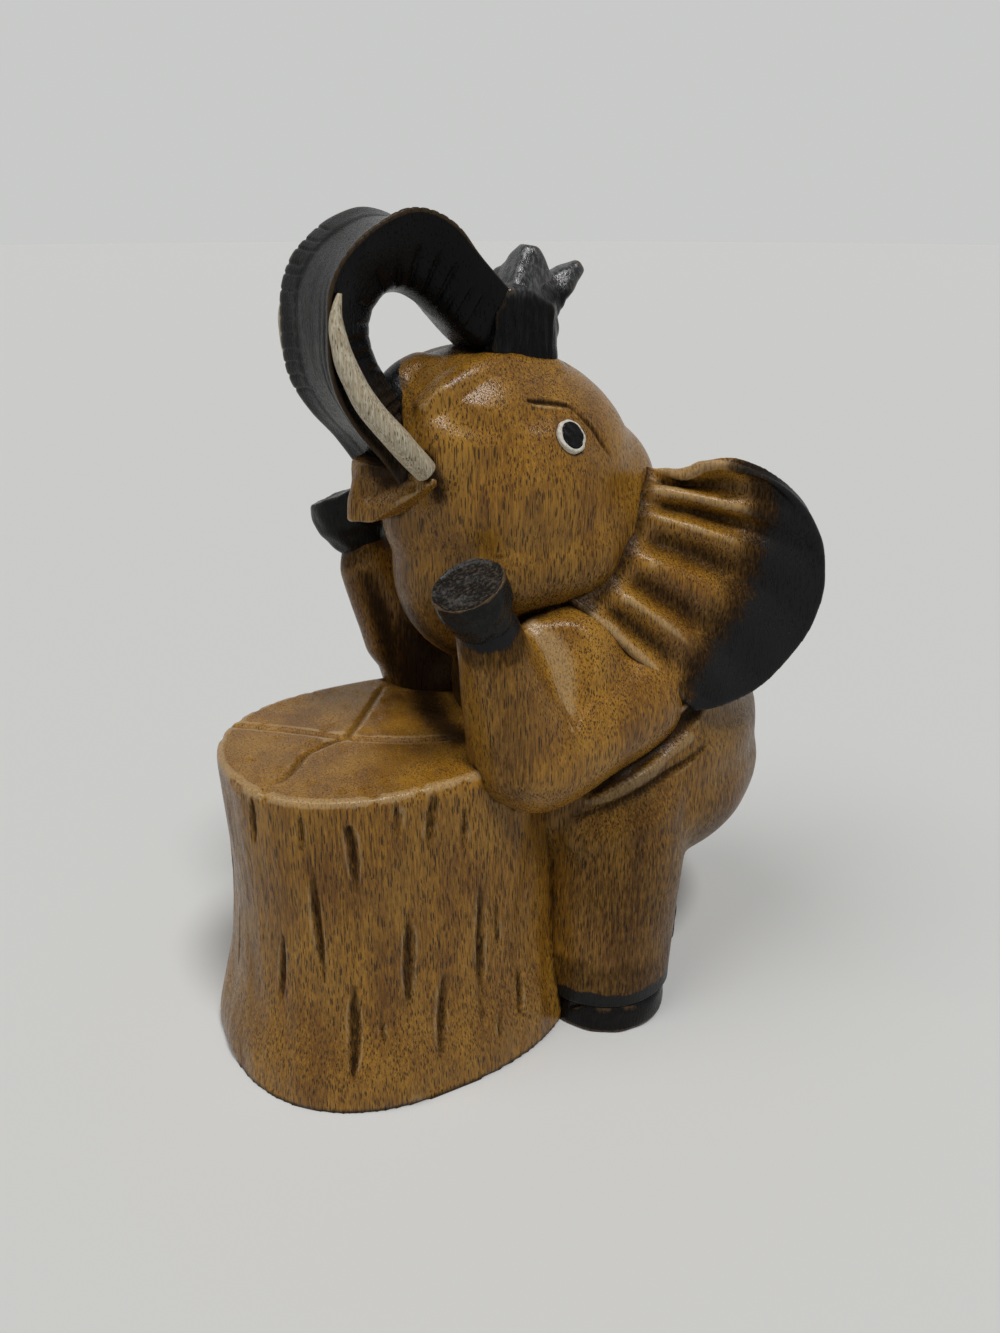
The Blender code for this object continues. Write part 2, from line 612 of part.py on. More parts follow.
finish_pair("left_tusk", WORN_IVORY, ("head", "trunk", "lower_lip"))
finish_pair("left_eye_white", WHITE_PAINT, ("left_pupil",))
finish_pair("left_pupil", BLACK_PAINT)
finish("tail", LIGHT_WOOD, ("left_haunch", "right_haunch", "torso"))
finish("tail_tuft", BLACK_PAINT, ("tail", "left_haunch"))

# The origin lies under the middle of the whole carving
root = bpy.data.objects.new("carving_root", None)
corners = [Vector(corner) for piece in carving.objects for corner in piece.bound_box]
for axis in (0, 1):
    places = [corner[axis] for corner in corners]
    root.location[axis] = -(min(places) + max(places)) / 2
for piece in carving.objects:
    piece.parent = root
carving.objects.link(root)
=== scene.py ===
"""The looks of a carved wooden elephant that leans on a tree stump.

Pieces are shaped in millimetres, in the frame of the part's source: X points to the elephant's
left, +Y to its rump and +Z up, and Y = 0 lies between the elbows.
"""
import math

import bmesh
import bpy
import numpy as np
from mathutils import Euler, Matrix, Vector
from mathutils.bvhtree import BVHTree


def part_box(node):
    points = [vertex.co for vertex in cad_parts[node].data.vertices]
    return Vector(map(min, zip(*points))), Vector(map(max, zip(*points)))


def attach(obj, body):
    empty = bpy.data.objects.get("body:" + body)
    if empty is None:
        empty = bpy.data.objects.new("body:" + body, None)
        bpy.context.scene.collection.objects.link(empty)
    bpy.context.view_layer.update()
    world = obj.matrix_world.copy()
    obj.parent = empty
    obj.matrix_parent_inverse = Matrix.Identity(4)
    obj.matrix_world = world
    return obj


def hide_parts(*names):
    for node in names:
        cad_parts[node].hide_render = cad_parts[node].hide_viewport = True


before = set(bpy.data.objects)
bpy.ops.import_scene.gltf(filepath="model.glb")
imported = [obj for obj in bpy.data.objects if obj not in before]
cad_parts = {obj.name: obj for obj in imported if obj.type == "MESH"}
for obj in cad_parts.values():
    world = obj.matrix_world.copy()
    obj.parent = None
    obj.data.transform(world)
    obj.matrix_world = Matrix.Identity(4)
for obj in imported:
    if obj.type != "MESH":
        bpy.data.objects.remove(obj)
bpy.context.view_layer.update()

MM = 0.001
STUMP_FRONT = -58.5
SHIFT_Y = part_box("stump")[0].y / MM - STUMP_FRONT
STUMP_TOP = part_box("stump")[1].z / MM
HEAD = Vector((0.0, 24.0, STUMP_TOP + 58.0))
RUMP = Vector((0.0, 55.0, STUMP_TOP - 23.0))
HIP = Vector((23.0, 41.0, 52.0))
ANKLE = Vector((26.0, 38.5, 9.5))
FOOT_TOP = 9.5
TUFT_TOP = Vector((12.0, 70.0, 20.0))
TRUNK_WIDTH = 30.0
COARSE = 1.3
SIDES = ((1, "left"), (-1, "right"))

carvings = []


# Shapes that every piece is made from

def evaluated(shape, *settings):
    """The mesh of a mesh or curve after modifiers, each given as (type, {setting: value})."""
    holder = bpy.data.objects.new("holder", shape)
    bpy.context.scene.collection.objects.link(holder)
    for kind, values in settings:
        modifier = holder.modifiers.new(kind.title(), kind)
        for key, value in values.items():
            setattr(modifier, key, value)
    graph = bpy.context.evaluated_depsgraph_get()
    result = bpy.data.meshes.new_from_object(holder.evaluated_get(graph))
    bpy.data.objects.remove(holder)
    return result


def reskinned(mesh, grain, passes):
    """The mesh under one even skin of that grain, smoothed in that many passes."""
    return evaluated(mesh, ("REMESH", {"mode": "VOXEL", "voxel_size": grain}),
                     ("SMOOTH", {"factor": 0.5, "iterations": passes}))


def to_mesh(bm, name="form"):
    mesh = bpy.data.meshes.new(name)
    bm.to_mesh(mesh)
    bm.free()
    return mesh


def vertex_rows(mesh, what="co"):
    """The places of a mesh's vertices, or with "normal" their normals, in rows of three."""
    values = np.empty(len(mesh.vertices) * 3, np.float32)
    mesh.vertices.foreach_get(what, values)
    return values.reshape(-1, 3).astype(float)


def move_vertices(mesh, points):
    mesh.vertices.foreach_set("co", points.astype(np.float32).ravel())
    mesh.update()


def set_layer(mesh, key, values):
    """Keeps a value of each vertex in the mesh, where a material can read it."""
    layer = mesh.attributes.get(key) or mesh.attributes.new(key, "FLOAT", "POINT")
    layer.data.foreach_set("value", values.astype(np.float32))


def flat_grid(columns, rows):
    """A square grid, with each vertex's share of the way along both of its sides."""
    bm = bmesh.new()
    bmesh.ops.create_grid(bm, x_segments=columns, y_segments=rows, size=1.0)
    mesh = to_mesh(bm)
    one, two, _ = ((vertex_rows(mesh) + 1) / 2).T
    return mesh, one, two


def search_tree(mesh, points):
    """A tree over a mesh's faces, to cast rays at and to look for the nearest place in."""
    return BVHTree.FromPolygons(points.tolist(), [tuple(face.vertices) for face in mesh.polygons])


def drum(bm, place, depth, segments, low=1.0, high=1.0):
    """A closed cylinder or cone along its own Z, of two end radii."""
    bmesh.ops.create_cone(bm, cap_ends=True, segments=segments, radius1=low, radius2=high,
                          depth=depth, matrix=place)


def edges_at(bm, height):
    """The edges that lie level at that height."""
    return [edge for edge in bm.edges if all(abs(corner.co.z - height) < 0.1 for corner in edge.verts)]


def round_edges(bm, edges, size, segments):
    bmesh.ops.bevel(bm, geom=edges, offset=size, segments=segments, profile=0.5,
                    affect="EDGES", material=-1)


def ball(bm, centre, width, length, height):
    """An egg of full sizes along X, Y and Z."""
    place = Matrix.Translation(centre) @ Matrix.Diagonal((width / 2, length / 2, height / 2, 1.0))
    bmesh.ops.create_uvsphere(bm, u_segments=32, v_segments=16, radius=1.0, matrix=place)


def limb(bm, start, end, start_thickness, end_thickness):
    """A tapered limb with round ends."""
    start, end = Vector(start), Vector(end)
    axis = end - start
    turn = axis.to_track_quat("Z", "Y").to_matrix().to_4x4()
    drum(bm, Matrix.Translation((start + end) / 2) @ turn, axis.length, 40,
         start_thickness / 2, end_thickness / 2)
    ball(bm, start, start_thickness, start_thickness, start_thickness)
    ball(bm, end, end_thickness, end_thickness, end_thickness)


def melt(bm, grain, passes, fine_grain, fine_passes):
    """Melts overlapping shapes into one, then gives the result a finer skin."""
    return reskinned(reskinned(to_mesh(bm), grain, passes), fine_grain, fine_passes)


def rod(path, sizes, grain):
    """A round tapered rod along a smooth line."""
    path = smooth_rows(path, 12)
    sizes = smooth_rows([(size,) for size in sizes], 12)
    data = bpy.data.curves.new("rod", "CURVE")
    data.dimensions = "3D"
    data.bevel_depth = 0.5
    data.bevel_resolution = 8
    data.use_fill_caps = True
    spline = data.splines.new("POLY")
    spline.points.add(len(path) - 1)
    for place, point, size in zip(spline.points, path, sizes):
        place.co = (*point, 1.0)
        place.radius = size[0]
    return reskinned(evaluated(data), grain, 3)


def hull(bm, places):
    """The convex block round a few points."""
    corners = [bm.verts.new(place) for place in places]
    bmesh.ops.convex_hull(bm, input=corners)
    bmesh.ops.recalc_face_normals(bm, faces=bm.faces)


def slice_off(mesh, point, normal):
    """Cuts away what lies beyond a plane, and closes the cut with a flat face."""
    bm = bmesh.new()
    bm.from_mesh(mesh)
    everything = bm.verts[:] + bm.edges[:] + bm.faces[:]
    cut = bmesh.ops.bisect_plane(bm, geom=everything, dist=0.001, plane_co=point,
                                 plane_no=normal, clear_outer=True)
    rim = [item for item in cut["geom_cut"] if isinstance(item, bmesh.types.BMEdge)]
    bmesh.ops.holes_fill(bm, edges=rim)
    return to_mesh(bm)


def smooth_rows(rows, steps):
    """A smooth run through rows of numbers, with that many steps between two of them."""
    rows = np.array([tuple(row) for row in rows], float)
    run = []
    for index in range(len(rows) - 1):
        before, start = rows[max(index - 1, 0)], rows[index]
        end, after = rows[index + 1], rows[min(index + 2, len(rows) - 1)]
        for share in np.arange(steps) / steps:
            run.append(0.5 * (2 * start + (end - before) * share
                              + (2 * before - 5 * start + 4 * end - after) * share ** 2
                              + (3 * start - before - 3 * end + after) * share ** 3))
    run.append(rows[-1])
    return np.array(run)


def distances(steps):
    """How far along a line each of its points lies, from the steps between them."""
    return np.concatenate(([0], np.cumsum(np.linalg.norm(steps, axis=1))))


def look_up(table, share):
    """Values of a table of rows at shares from 0 to 1 along it."""
    place = np.clip(share, 0, 1) * (len(table) - 1)
    steps = np.arange(len(table))
    return np.stack([np.interp(place, steps, column) for column in table.T], axis=1)


def ease(values, low, high):
    """0 below low, 1 above high, and a soft step between."""
    share = np.clip((values - low) / (high - low), 0, 1)
    return share * share * (3 - 2 * share)


def waves(points, size, seed):
    """Soft unevenness of about that size, from -1 to 1."""
    draw = np.random.default_rng(seed)
    total = np.zeros(len(points))
    for _ in range(8):
        aim = draw.normal(size=3)
        aim /= np.linalg.norm(aim)
        turns = 2 * math.pi / size * draw.uniform(0.6, 1.5)
        total += np.sin(points @ aim * turns + draw.uniform(0, 2 * math.pi))
    return np.clip(total / 4, -1, 1)


def beside(points, line):
    """Distance of each point from a line, and its share along it."""
    line = np.array(line, float)
    lengths = np.linalg.norm(np.diff(line, axis=0), axis=1)
    nearest, share, run = np.full(len(points), 1e9), np.zeros(len(points)), 0.0
    for start, end, length in zip(line, line[1:], lengths):
        along = np.clip((points - start) @ (end - start) / length ** 2, 0, 1)
        gap = np.linalg.norm(points - start - along[:, None] * (end - start), axis=1)
        closer = gap < nearest
        nearest[closer] = gap[closer]
        share[closer] = (run + along[closer] * length) / lengths.sum()
        run += length
    return nearest, share


class Carving:
    """A piece under the chisel, with its stain and painted shade, wear and painted highlight, and paint.
    """

    def __init__(self, name, mesh, slot, *more_nodes):
        self.name, self.mesh, self.slot, self.nodes = name, mesh, slot, (slot, *more_nodes)
        self.points = vertex_rows(mesh)
        self.normals = vertex_rows(mesh, "normal")
        self.stain_and_shade, self.paint, self.rub, self.crease_shade = np.zeros((4, len(self.points)))
        carvings.append(self)

    def update(self):
        move_vertices(self.mesh, self.points)
        self.normals = vertex_rows(self.mesh, "normal")

    def push(self, amount):
        """Moves each point outwards by its own amount."""
        self.points += self.normals * amount[:, None]
        self.update()

    def darken_at_least(self, amount):
        """Darkens each point at least that much, with stain and painted shade."""
        self.stain_and_shade = np.maximum(self.stain_and_shade, amount)

    def strokes(self, line, mirror):
        """A line through points as a smooth one, and its mirror image if asked for."""
        line = smooth_rows(line, 5) if len(line) > 2 else np.array(line, float)
        return [line, line * (-1, 1, 1)] if mirror else [line]

    def gouge(self, line, width, depth, taper=0.3, keen=1.5, stain_and_shade=0.9, mirror=False):
        """Cuts a groove along a line, darkened with stain and painted shade. It narrows over a share of
        its length at both ends.
        """
        for stroke in self.strokes(line, mirror):
            gap, share = beside(self.points, stroke)
            narrow = np.clip(np.minimum(share, 1 - share) / taper, 0, 1) ** 0.6
            cut = np.clip(1 - gap / (width / 2 * narrow + 0.001), 0, 1)
            self.points -= self.normals * (cut ** keen * narrow * depth)[:, None]
            self.darken_at_least(stain_and_shade * ease(cut, 0.0, 0.5))
        self.update()

    def swell(self, line, widths, height, mirror=False):
        """Raises a soft ridge, or with a height below 0 a soft hollow, of two end widths."""
        amount = np.zeros(len(self.points))
        for stroke in self.strokes(line, mirror):
            gap, share = beside(self.points, stroke)
            half = (widths[0] + (widths[1] - widths[0]) * share) / 2
            amount += height * np.clip(1 - (gap / half) ** 2, 0, 1) ** 2
        self.push(amount)

    def paint_shade_strip(self, line, width, amount, mirror=False):
        """Paints shade into a soft strip along a line."""
        for stroke in self.strokes(line, mirror):
            gap, _ = beside(self.points, stroke)
            self.darken_at_least(amount * (1 - ease(gap, 0, width / 2)))

    def roughen(self, size, amount, seed):
        """Leaves the unevenness of work by hand."""
        self.push(waves(self.points, size, seed) * amount)


# The stump

def make_stump():
    """Flared at the base and waisted. The profile's rows hold height, width, front and back."""
    profile = smooth_rows(((0, 81, STUMP_FRONT, 37), (8.3, 79.2, -57.5, 36.9), (23.9, 71.6, -53.5, 36.3),
                           (46, 68, -51.5, 36), (69.3, 65.3, -52, 36), (81, 64, -52.5, 36)), 8)
    middle = -14.0
    squareness = 2 / 2.3

    def skin_point(side, ahead, height):
        """The stump's skin at a height, the way that a point on the unit circle shows."""
        width, front, back = (np.interp(height, profile[:, 0], profile[:, column])
                              for column in (1, 2, 3))
        reach = (back - middle) if ahead > 0 else (middle - front)
        return (math.copysign(abs(side) ** squareness, side) * width / 2,
                middle + math.copysign(abs(ahead) ** squareness, ahead) * reach, height)

    bm = bmesh.new()
    drum(bm, Matrix.Translation((0, 0, STUMP_TOP / 2)), STUMP_TOP, 120)
    for height in np.arange(3.0, STUMP_TOP - 2, 3.0):
        bmesh.ops.bisect_plane(bm, geom=bm.verts[:] + bm.edges[:] + bm.faces[:], dist=0.001,
                               plane_co=(0, 0, height), plane_no=(0, 0, 1))
    for vertex in bm.verts:
        vertex.co = skin_point(*vertex.co)
    round_edges(bm, edges_at(bm, STUMP_TOP), 1.5, 4)
    stump = Carving("carved_stump", reskinned(to_mesh(bm), 0.66, 2), "stump")
    side = ease(STUMP_TOP - stump.points[:, 2], 0.3, 4.0) * ease(stump.points[:, 2], 0.0, 3.0)
    stretched = stump.points * (1, 1, 0.14)
    stump.push((waves(stretched, 9, 1) * 0.3 + waves(stretched, 3.5, 2) * 0.12) * side)
    stump.push(waves(stump.points * (1, 1, 0.3), 26, 3) * 0.3 * side)
    chips = ease(waves(stump.points * (1, 1, 0.2), 7, 4), 0.35, 0.9)
    rim = (1 - np.abs(stump.points[:, 2] - STUMP_TOP + 1.2) / 2.2).clip(0, 1)
    stump.push(-0.5 * chips * rim)
    cut_bark(stump, skin_point)
    cut_top(stump)
    # A painted contact shadow along the foot; the sides a little darker than the top
    contact_shadow = 1 - ease(stump.points[:, 2], 0.4, 1.8)
    stump.darken_at_least(np.maximum(contact_shadow, 0.32 * side))


def cut_bark(stump, skin_point):
    """Bark lines, each a width and three points, and drawn ones on the side away from them."""
    bark = ((2.6, (25.4, -33.3, 80.4), (29.3, -33.0, 72), (30.2, -32.6, 57.5)),
            (2.1, (25.0, -41.0, 65.5), (25.5, -40.9, 50.5), (27.0, -40.8, 33)),
            (2.9, (33.3, -21.2, 51.5), (34.0, -22.2, 38.1), (35.0, -23.3, 24)),
            (3.1, (30.7, -35.1, 35), (32.2, -36.0, 20.3), (34.5, -38.3, 6)),
            (2.6, (35.1, -13.2, 34), (36.2, -14.8, 22.1), (38.7, -17.0, 9.5)),
            (2.4, (32.8, -2.9, 57), (33.9, -3.3, 39.8), (37.4, -4.8, 13.5)),
            (2.0, (33.2, 8.3, 25), (34.8, 7.4, 17), (36.6, 6.2, 9.5)),
            (2.0, (18.7, -47.0, 45), (18.6, -48.2, 35), (18.5, -49.0, 25)),
            (2.4, (31.6, -13.7, 80.4), (32.1, -14.6, 73), (32.7, -15.8, 65)),
            (2.2, (13.3, -49.9, 79.5), (12.9, -49.9, 73), (12.5, -49.9, 65.5)),
            (1.6, (23.6, -42.2, 78.3), (23.6, -42.4, 73), (23.6, -42.5, 68)),
            (1.5, (31.5, -22.7, 79.4), (31.8, -22.8, 75), (32.0, -22.8, 70)),
            (1.4, (32.0, -6.2, 74), (32.4, -6.6, 68), (32.7, -7.0, 62)),
            (1.4, (32.8, 1.7, 47), (33.4, 1.5, 39), (34.0, 1.3, 31)),
            (1.3, (33.6, -29.4, 27), (34.5, -30, 21), (35.5, -30.4, 15)),
            (1.4, (36.7, 0.7, 17), (37.9, -0.3, 11), (39.1, -1.2, 5)))
    for width, *line in bark:
        stump.gouge(line, width * 1.1, 1.2, taper=0.35, keen=0.9, stain_and_shade=0.8)
        stump.gouge(line, width * 0.5, 0.4, taper=0.25, keen=0.8, stain_and_shade=1.0)
    draw = np.random.default_rng(7)
    for turn in np.radians(np.arange(100, 290, 13)):
        top, length, lean = draw.uniform(40, 78), draw.uniform(14, 30), draw.uniform(-0.05, 0.05)
        ends = [skin_point(math.cos(turn + lean * share), math.sin(turn + lean * share),
                           top - length * share) for share in (0, 0.5, 1)]
        if ends[0][0] < 8:
            stump.gouge(ends, draw.uniform(2.2, 3.2), 1.3, taper=0.55, keen=1.0, stain_and_shade=0.95)


def cut_top(stump):
    """Two crossed grooves and a few scratches on top, and painted shade under the chest and by the
    elbow.
    """
    def on_top(*places):
        return [(across, ahead, STUMP_TOP) for across, ahead in places]

    stump.gouge(on_top((-22, -46), (-19.8, -42.5), (-9.5, -30.7), (-0.7, -21.5), (7.8, -9.6),
                       (12.5, 2.5)), 3.0, 1.2, taper=0.05, keen=0.9, stain_and_shade=0.3)
    stump.gouge(on_top((-26, 0), (-21.1, -4.7), (-2.4, -20.1), (0.2, -26.7), (3.1, -33.4),
                       (11.0, -40.5), (14, -46)), 2.2, 0.9, taper=0.1, keen=1.0, stain_and_shade=0.6)
    for scratch in (((-11.7, 3.3), (-4.5, 9.9)), ((-9.0, 1.0), (-1.0, 5.5)),
                    ((-5.0, -0.5), (1.5, 3.5)), ((-3.5, 8), (3.5, 2.5))):
        stump.gouge(on_top(*scratch), 1.2, 0.35, stain_and_shade=0.6)
    # Painted shade under the chest and by the elbow
    stump.paint_shade_strip(on_top((-22, 10), (-10, 5), (2, 2), (13, 3)), 19, 0.95)
    stump.paint_shade_strip(on_top((14, 2), (17, 12)), 8, 0.8)


# The body

def make_body():
    """Neck, back, belly, rump and legs in one flow, with the two cuts round the waist."""
    bm = bmesh.new()
    ball(bm, (0, HEAD.y + 20, STUMP_TOP + 34), 50, 68, 56)
    ball(bm, (0, RUMP.y - 3, STUMP_TOP + 3), 74, 84, 64)
    ball(bm, (0, RUMP.y - 14, STUMP_TOP - 10), 79, 64, 40)
    ball(bm, (0, RUMP.y - 8, STUMP_TOP + 19), 62, 77, 56)
    limb(bm, (0, 27, STUMP_TOP + 14), (0, 29, STUMP_TOP + 30), 30, 32)
    ball(bm, RUMP, 78, 88, 58)
    ball(bm, RUMP + Vector((0, -14, 4)), 80, 62, 58)
    ball(bm, RUMP + Vector((0, -1.5, 12)), 78, 88, 58)
    for side in (-1, 1):
        across = Matrix.Diagonal((side, 1.0, 1.0))
        limb(bm, across @ HIP, across @ ANKLE, 41, 36)
        limb(bm, across @ ANKLE, across @ (ANKLE - Vector((0, 0, 12))), 36, 36)
    mesh = slice_off(melt(bm, COARSE, 30, 0.71, 7), (0, 0, FOOT_TOP - 1.0), (0, 0, -1))
    body = Carving("carved_body", mesh, "torso", "left_haunch", "right_haunch")
    body.roughen(24, 0.22, 11)
    under_arm = ((34, 12, 67), (35.5, 22, 69.4), (37, 31.4, 73.2), (36.9, 47.4, 80.4),
                 (36.4, 55.6, 85.4), (35.5, 61, 88.5))
    over_thigh = ((31, 18.5, 60.5), (33, 23.9, 62.8), (38.3, 34.8, 67.5), (38.6, 46.7, 71.4),
                  (38.3, 54.4, 74.0), (36, 63, 77.5))
    strip = ((34.5, 22.5, 66), (37.6, 33, 70.3), (38.3, 46.2, 75.5), (37.6, 54.0, 79.0))
    body.swell(((33, 24, 56), (38, 36, 60), (39, 48, 63)), (12, 14), 1.2, mirror=True)
    body.gouge(under_arm, 6.5, 2.4, taper=0.1, keen=1.0, stain_and_shade=1.0, mirror=True)
    body.gouge(over_thigh, 3.6, 1.4, taper=0.45, keen=1.1, stain_and_shade=0.85, mirror=True)
    body.swell(strip, (4.5, 5.0), 0.8, mirror=True)
    # Painted shade along the lower cut, in the chest's hollow and down its sides, in a line low on the
    # haunch and on the legs beside the stump
    body.paint_shade_strip(over_thigh, 6, 0.5, mirror=True)
    body.paint_shade_strip(((-8, 6, 84), (0, 4, 92), (0, 3.5, 100), (0, 4, 108)), 46, 1.0)
    body.paint_shade_strip(((14, 8, 84), (15, 14, 100), (16, 20, 112)), 24, 1.0, mirror=True)
    body.paint_shade_strip(((34, 70, 52), (35.5, 72, 60)), 7, 0.35, mirror=True)
    body.paint_shade_strip(((26, 20, 15), (27, 20, 35), (28, 20, 55)), 9, 0.6, mirror=True)
    smoke = 1 - ease(body.points[:, 2] + waves(body.points, 9, 6) * 1.5, 20.0, 28.0)
    body.paint = 1 - ease(body.points[:, 2] + waves(body.points, 6, 5) * 0.6, 11.5, 13.5)
    body.darken_at_least(smoke * 0.62)
    patches = ease(waves(body.points * (1, 1, 0.5), 34, 7), -0.8, 0.8)
    body.darken_at_least(0.38 + 0.2 * patches)


def make_feet():
    """Round black hind feet with carved toe lines, each of a width and a depth."""
    toe_lines = ((1.5, 1.0, (33, 22.5, 5.0), (37, 25, 8.2), (40.2, 29.4, 8.9), (43.9, 38.0, 6.0)),
                 (1.2, 0.8, (33, 22.5, 7.2), (38, 26, 9.2), (42.5, 33, 9.0), (44, 39.0, 8.2)))
    for side, name in SIDES:
        bm = bmesh.new()
        place = Matrix.Translation((side * (ANKLE.x + 0.5), ANKLE.y - 0.5, FOOT_TOP / 2))
        drum(bm, place @ Matrix.Diagonal((17.5, 16.5, 1, 1)), FOOT_TOP, 96)
        round_edges(bm, edges_at(bm, FOOT_TOP), 3.2, 6)
        round_edges(bm, edges_at(bm, 0.0), 1.0, 3)
        foot = Carving("painted_" + name + "_hind_foot", reskinned(to_mesh(bm), 0.5, 2),
                       name + "_hind_foot")
        foot.roughen(9, 0.22, 21)
        for width, depth, *line in toe_lines:
            foot.gouge(np.array(line) * (side, 1, 1), width, depth, taper=0.1, stain_and_shade=0.3)


# The head

def make_head():
    """The skull, brow, muzzle and throat in one egg."""
    bm = bmesh.new()
    for place, size in (((0, 0, 0), (54, 62, 62)), ((0, -10, 13), (44, 52, 40)),
                        ((0, -22.5, 12), (38, 26, 37)), ((0, -16.5, -14), (28, 27, 44)),
                        ((0, -9, -10), (44, 38, 44)), ((0, 14, -4), (44, 49, 43)),
                        ((0, -20, -5.5), (26, 27, 28)), ((0, -6, -17.7), (40, 50, 54)),
                        ((12.5, 8, -9), (27, 42, 36)), ((-12.5, 8, -9), (27, 42, 36))):
        ball(bm, HEAD + Vector(place), *size)
    for side in (-1, 1):
        limb(bm, (side * 12.5, 15, 123.5), (side * 13, 32, 125.6), 26.4, 29)
    head = Carving("carved_head", melt(bm, COARSE, 16, 0.52, 8), "head")
    head.roughen(20, 0.18, 31)
    head.swell(((0, -7, 164.5), (0, 0, 168)), (15, 12), 2.0)
    head.swell(((13.5, -5, 162.5), (12.5, 1.5, 165.2), (11.8, 6.9, 167.7), (10.6, 13, 169.2),
                (9.8, 21, 169.8), (8.5, 29, 168.6)), (8, 12), 1.5, mirror=True)
    head.swell(((6, -4, 166), (12.6, -2, 161.5), (16.5, 1.5, 158), (18.5, 8, 156.5)), (10, 9), -1.0,
               mirror=True)
    head.swell(((19.5, 16, 158), (21, 26, 157), (22.5, 33, 151)), (9, 9), -0.6, mirror=True)
    mark_head(head)
    across, ahead, up = head.points.T
    # Painted shade on the lower head and throat, darker towards the bottom
    head.darken_at_least(0.5 * (1 - ease(up, 112, 150)))
    face_edge = -4.2 - 0.44 * np.abs(across) + waves(head.points, 5, 32) * 0.3
    head.paint = (1 - ease(ahead, face_edge - 0.5, face_edge + 0.5)) * ease(up, 149, 152)
    return head


def mark_head(head):
    """Lines cut round the eyes, on the cheeks and over the crown, then soft strips of painted shade."""
    # Width, depth, taper, keenness, and stain with painted shade, then the points
    cuts = ((1.9, 0.9, 0.3, 1.0, 1.0, (18.0, 15.9, 161.9), (18.8, 19.4, 161.5), (19.2, 25.4, 160.7),
             (20.0, 29.7, 158.8)),
            (1.5, -0.5, 0.5, 1.0, 0.0, (18.6, 16.9, 160.9), (19.3, 20.4, 160.3), (19.7, 26.0, 159.4)),
            (1.8, 0.7, 0.3, 1.0, 0.8, (19.6, 28.0, 159.6), (21.7, 33.2, 154.4), (22.9, 37.3, 147.2)),
            (1.5, 0.6, 0.3, 1.5, 0.9, (20.3, 17.5, 158.7), (20.9, 21.5, 158.3), (20.8, 25.0, 157.5)),
            (1.1, 0.5, 0.3, 1.5, 0.85, (17.5, -2.5, 129.9), (19.3, 0.6, 129.5), (23.6, 10.4, 128.5)),
            (1.0, 0.4, 0.3, 1.5, 0.8, (23.5, 10.5, 127.5), (23.9, 14, 126), (24.2, 17.5, 123.6)),
            (1.6, 0.7, 0.4, 1.5, 0.5, (9.3, 34.0, 166.6), (6, 35.5, 166.8), (0, 36, 167)))
    for width, depth, taper, keen, stain_and_shade, *line in cuts:
        head.gouge(line, width, depth, taper, keen, stain_and_shade, mirror=True)
    # Width and amount of painted shade, then the points: beside the trunk, under the tusk, under the
    # trunk's tip, at the lower cheek and under the throat
    strips = ((4, 0.8, (0, -6, 167), (9, -6, 163.5), (14, -7.5, 157), (17.5, -6, 151)),
              (9, 0.95, (14.8, -7.5, 151), (16.2, -4.5, 146.5), (15.8, -3.5, 142)),
              (3.0, 0.9, (0, 10, 174), (8, 13, 173.5), (9.5, 28, 172.5), (0, 32, 173)),
              (4.5, 0.95, (18, 14, 111), (20, 24, 111), (21, 36, 114), (22, 44, 121)),
              (22, 0.8, (3, -6, 110), (6, 0, 103), (10, 8, 99)))
    for width, amount, *line in strips:
        head.paint_shade_strip(line, width, amount, mirror=True)


def make_lip():
    """The pointed lower lip, like the spout of a jug."""
    bm = bmesh.new()
    hull(bm, [Vector((side * place[0], place[1], place[2])) for side in (-1, 1) for place in
              ((0.9, -18.2, 134.9), (0.9, -18.0, 138.5), (2.4, -15.8, 148.6), (17.2, -5.8, 145.6),
               (5, -15.4, 135.2), (9.2, -11.6, 138.8), (14.6, -7.2, 143.2), (15, 0, 149),
               (13, 2, 143), (8, 0, 138.5), (3, -8, 136.5))])
    lip = Carving("carved_lower_lip", melt(bm, 0.5, 3, 0.36, 4), "lower_lip")
    lip.roughen(8, 0.15, 41)
    lip.swell(((4.5, -15.5, 142.5), (8.5, -12.5, 143.5), (13, -9, 145)), (9, 5), -1.7, mirror=True)
    across = np.abs(lip.points[:, 0])
    tip_across, tip_height, rise = 0.9, 134.9, 0.656
    above = lip.points[:, 2] - tip_height - (across - tip_across) * rise
    ahead = 1 - ease(lip.points[:, 1], -6, 0)
    # Painted shade on the upper part of the near face, under the tusk and trunk
    lip.stain_and_shade = ease(above, 1.2, 5.5) * (0.3 + 0.7 * ease(across + above * 0.3, 4, 10)) * ahead


def make_eyes(head):
    """A raised white ring round a black pupil. Each has its length, width and height."""
    thickness = 3.0
    tree = search_tree(head.mesh, head.points)
    for side, name in SIDES:
        spot, normal, _, _ = tree.ray_cast(Vector((side * 54, HEAD.y + 2.2, HEAD.z + 15)),
                                           Vector((-side, 0, 0)))
        turn = normal.to_track_quat("Z", "Y").to_matrix().to_4x4()
        turn @= Matrix.Rotation(math.radians(-20 * side), 4, "Z")
        for part, length, width, proud in (("eye_white", 7.9, 7.5, 0.5), ("pupil", 6.9, 6.1, 0.7)):
            bm = bmesh.new()
            stand = Matrix.Translation(spot + normal * (proud - thickness / 2))
            drum(bm, stand @ turn @ Matrix.Diagonal((width / 2, length / 2, 1, 1)), thickness, 72)
            bm.normal_update()
            rim = [edge for edge in bm.edges
                   if any(face.normal.dot(normal) > 0.9 for face in edge.link_faces)]
            round_edges(bm, rim, 0.5, 4)
            eye = Carving("painted_" + name + "_" + part, reskinned(to_mesh(bm), 0.14, 4),
                          name + "_" + part)
            eye.push(waves(eye.points, 3.0, 51) * 0.16)


# The ears

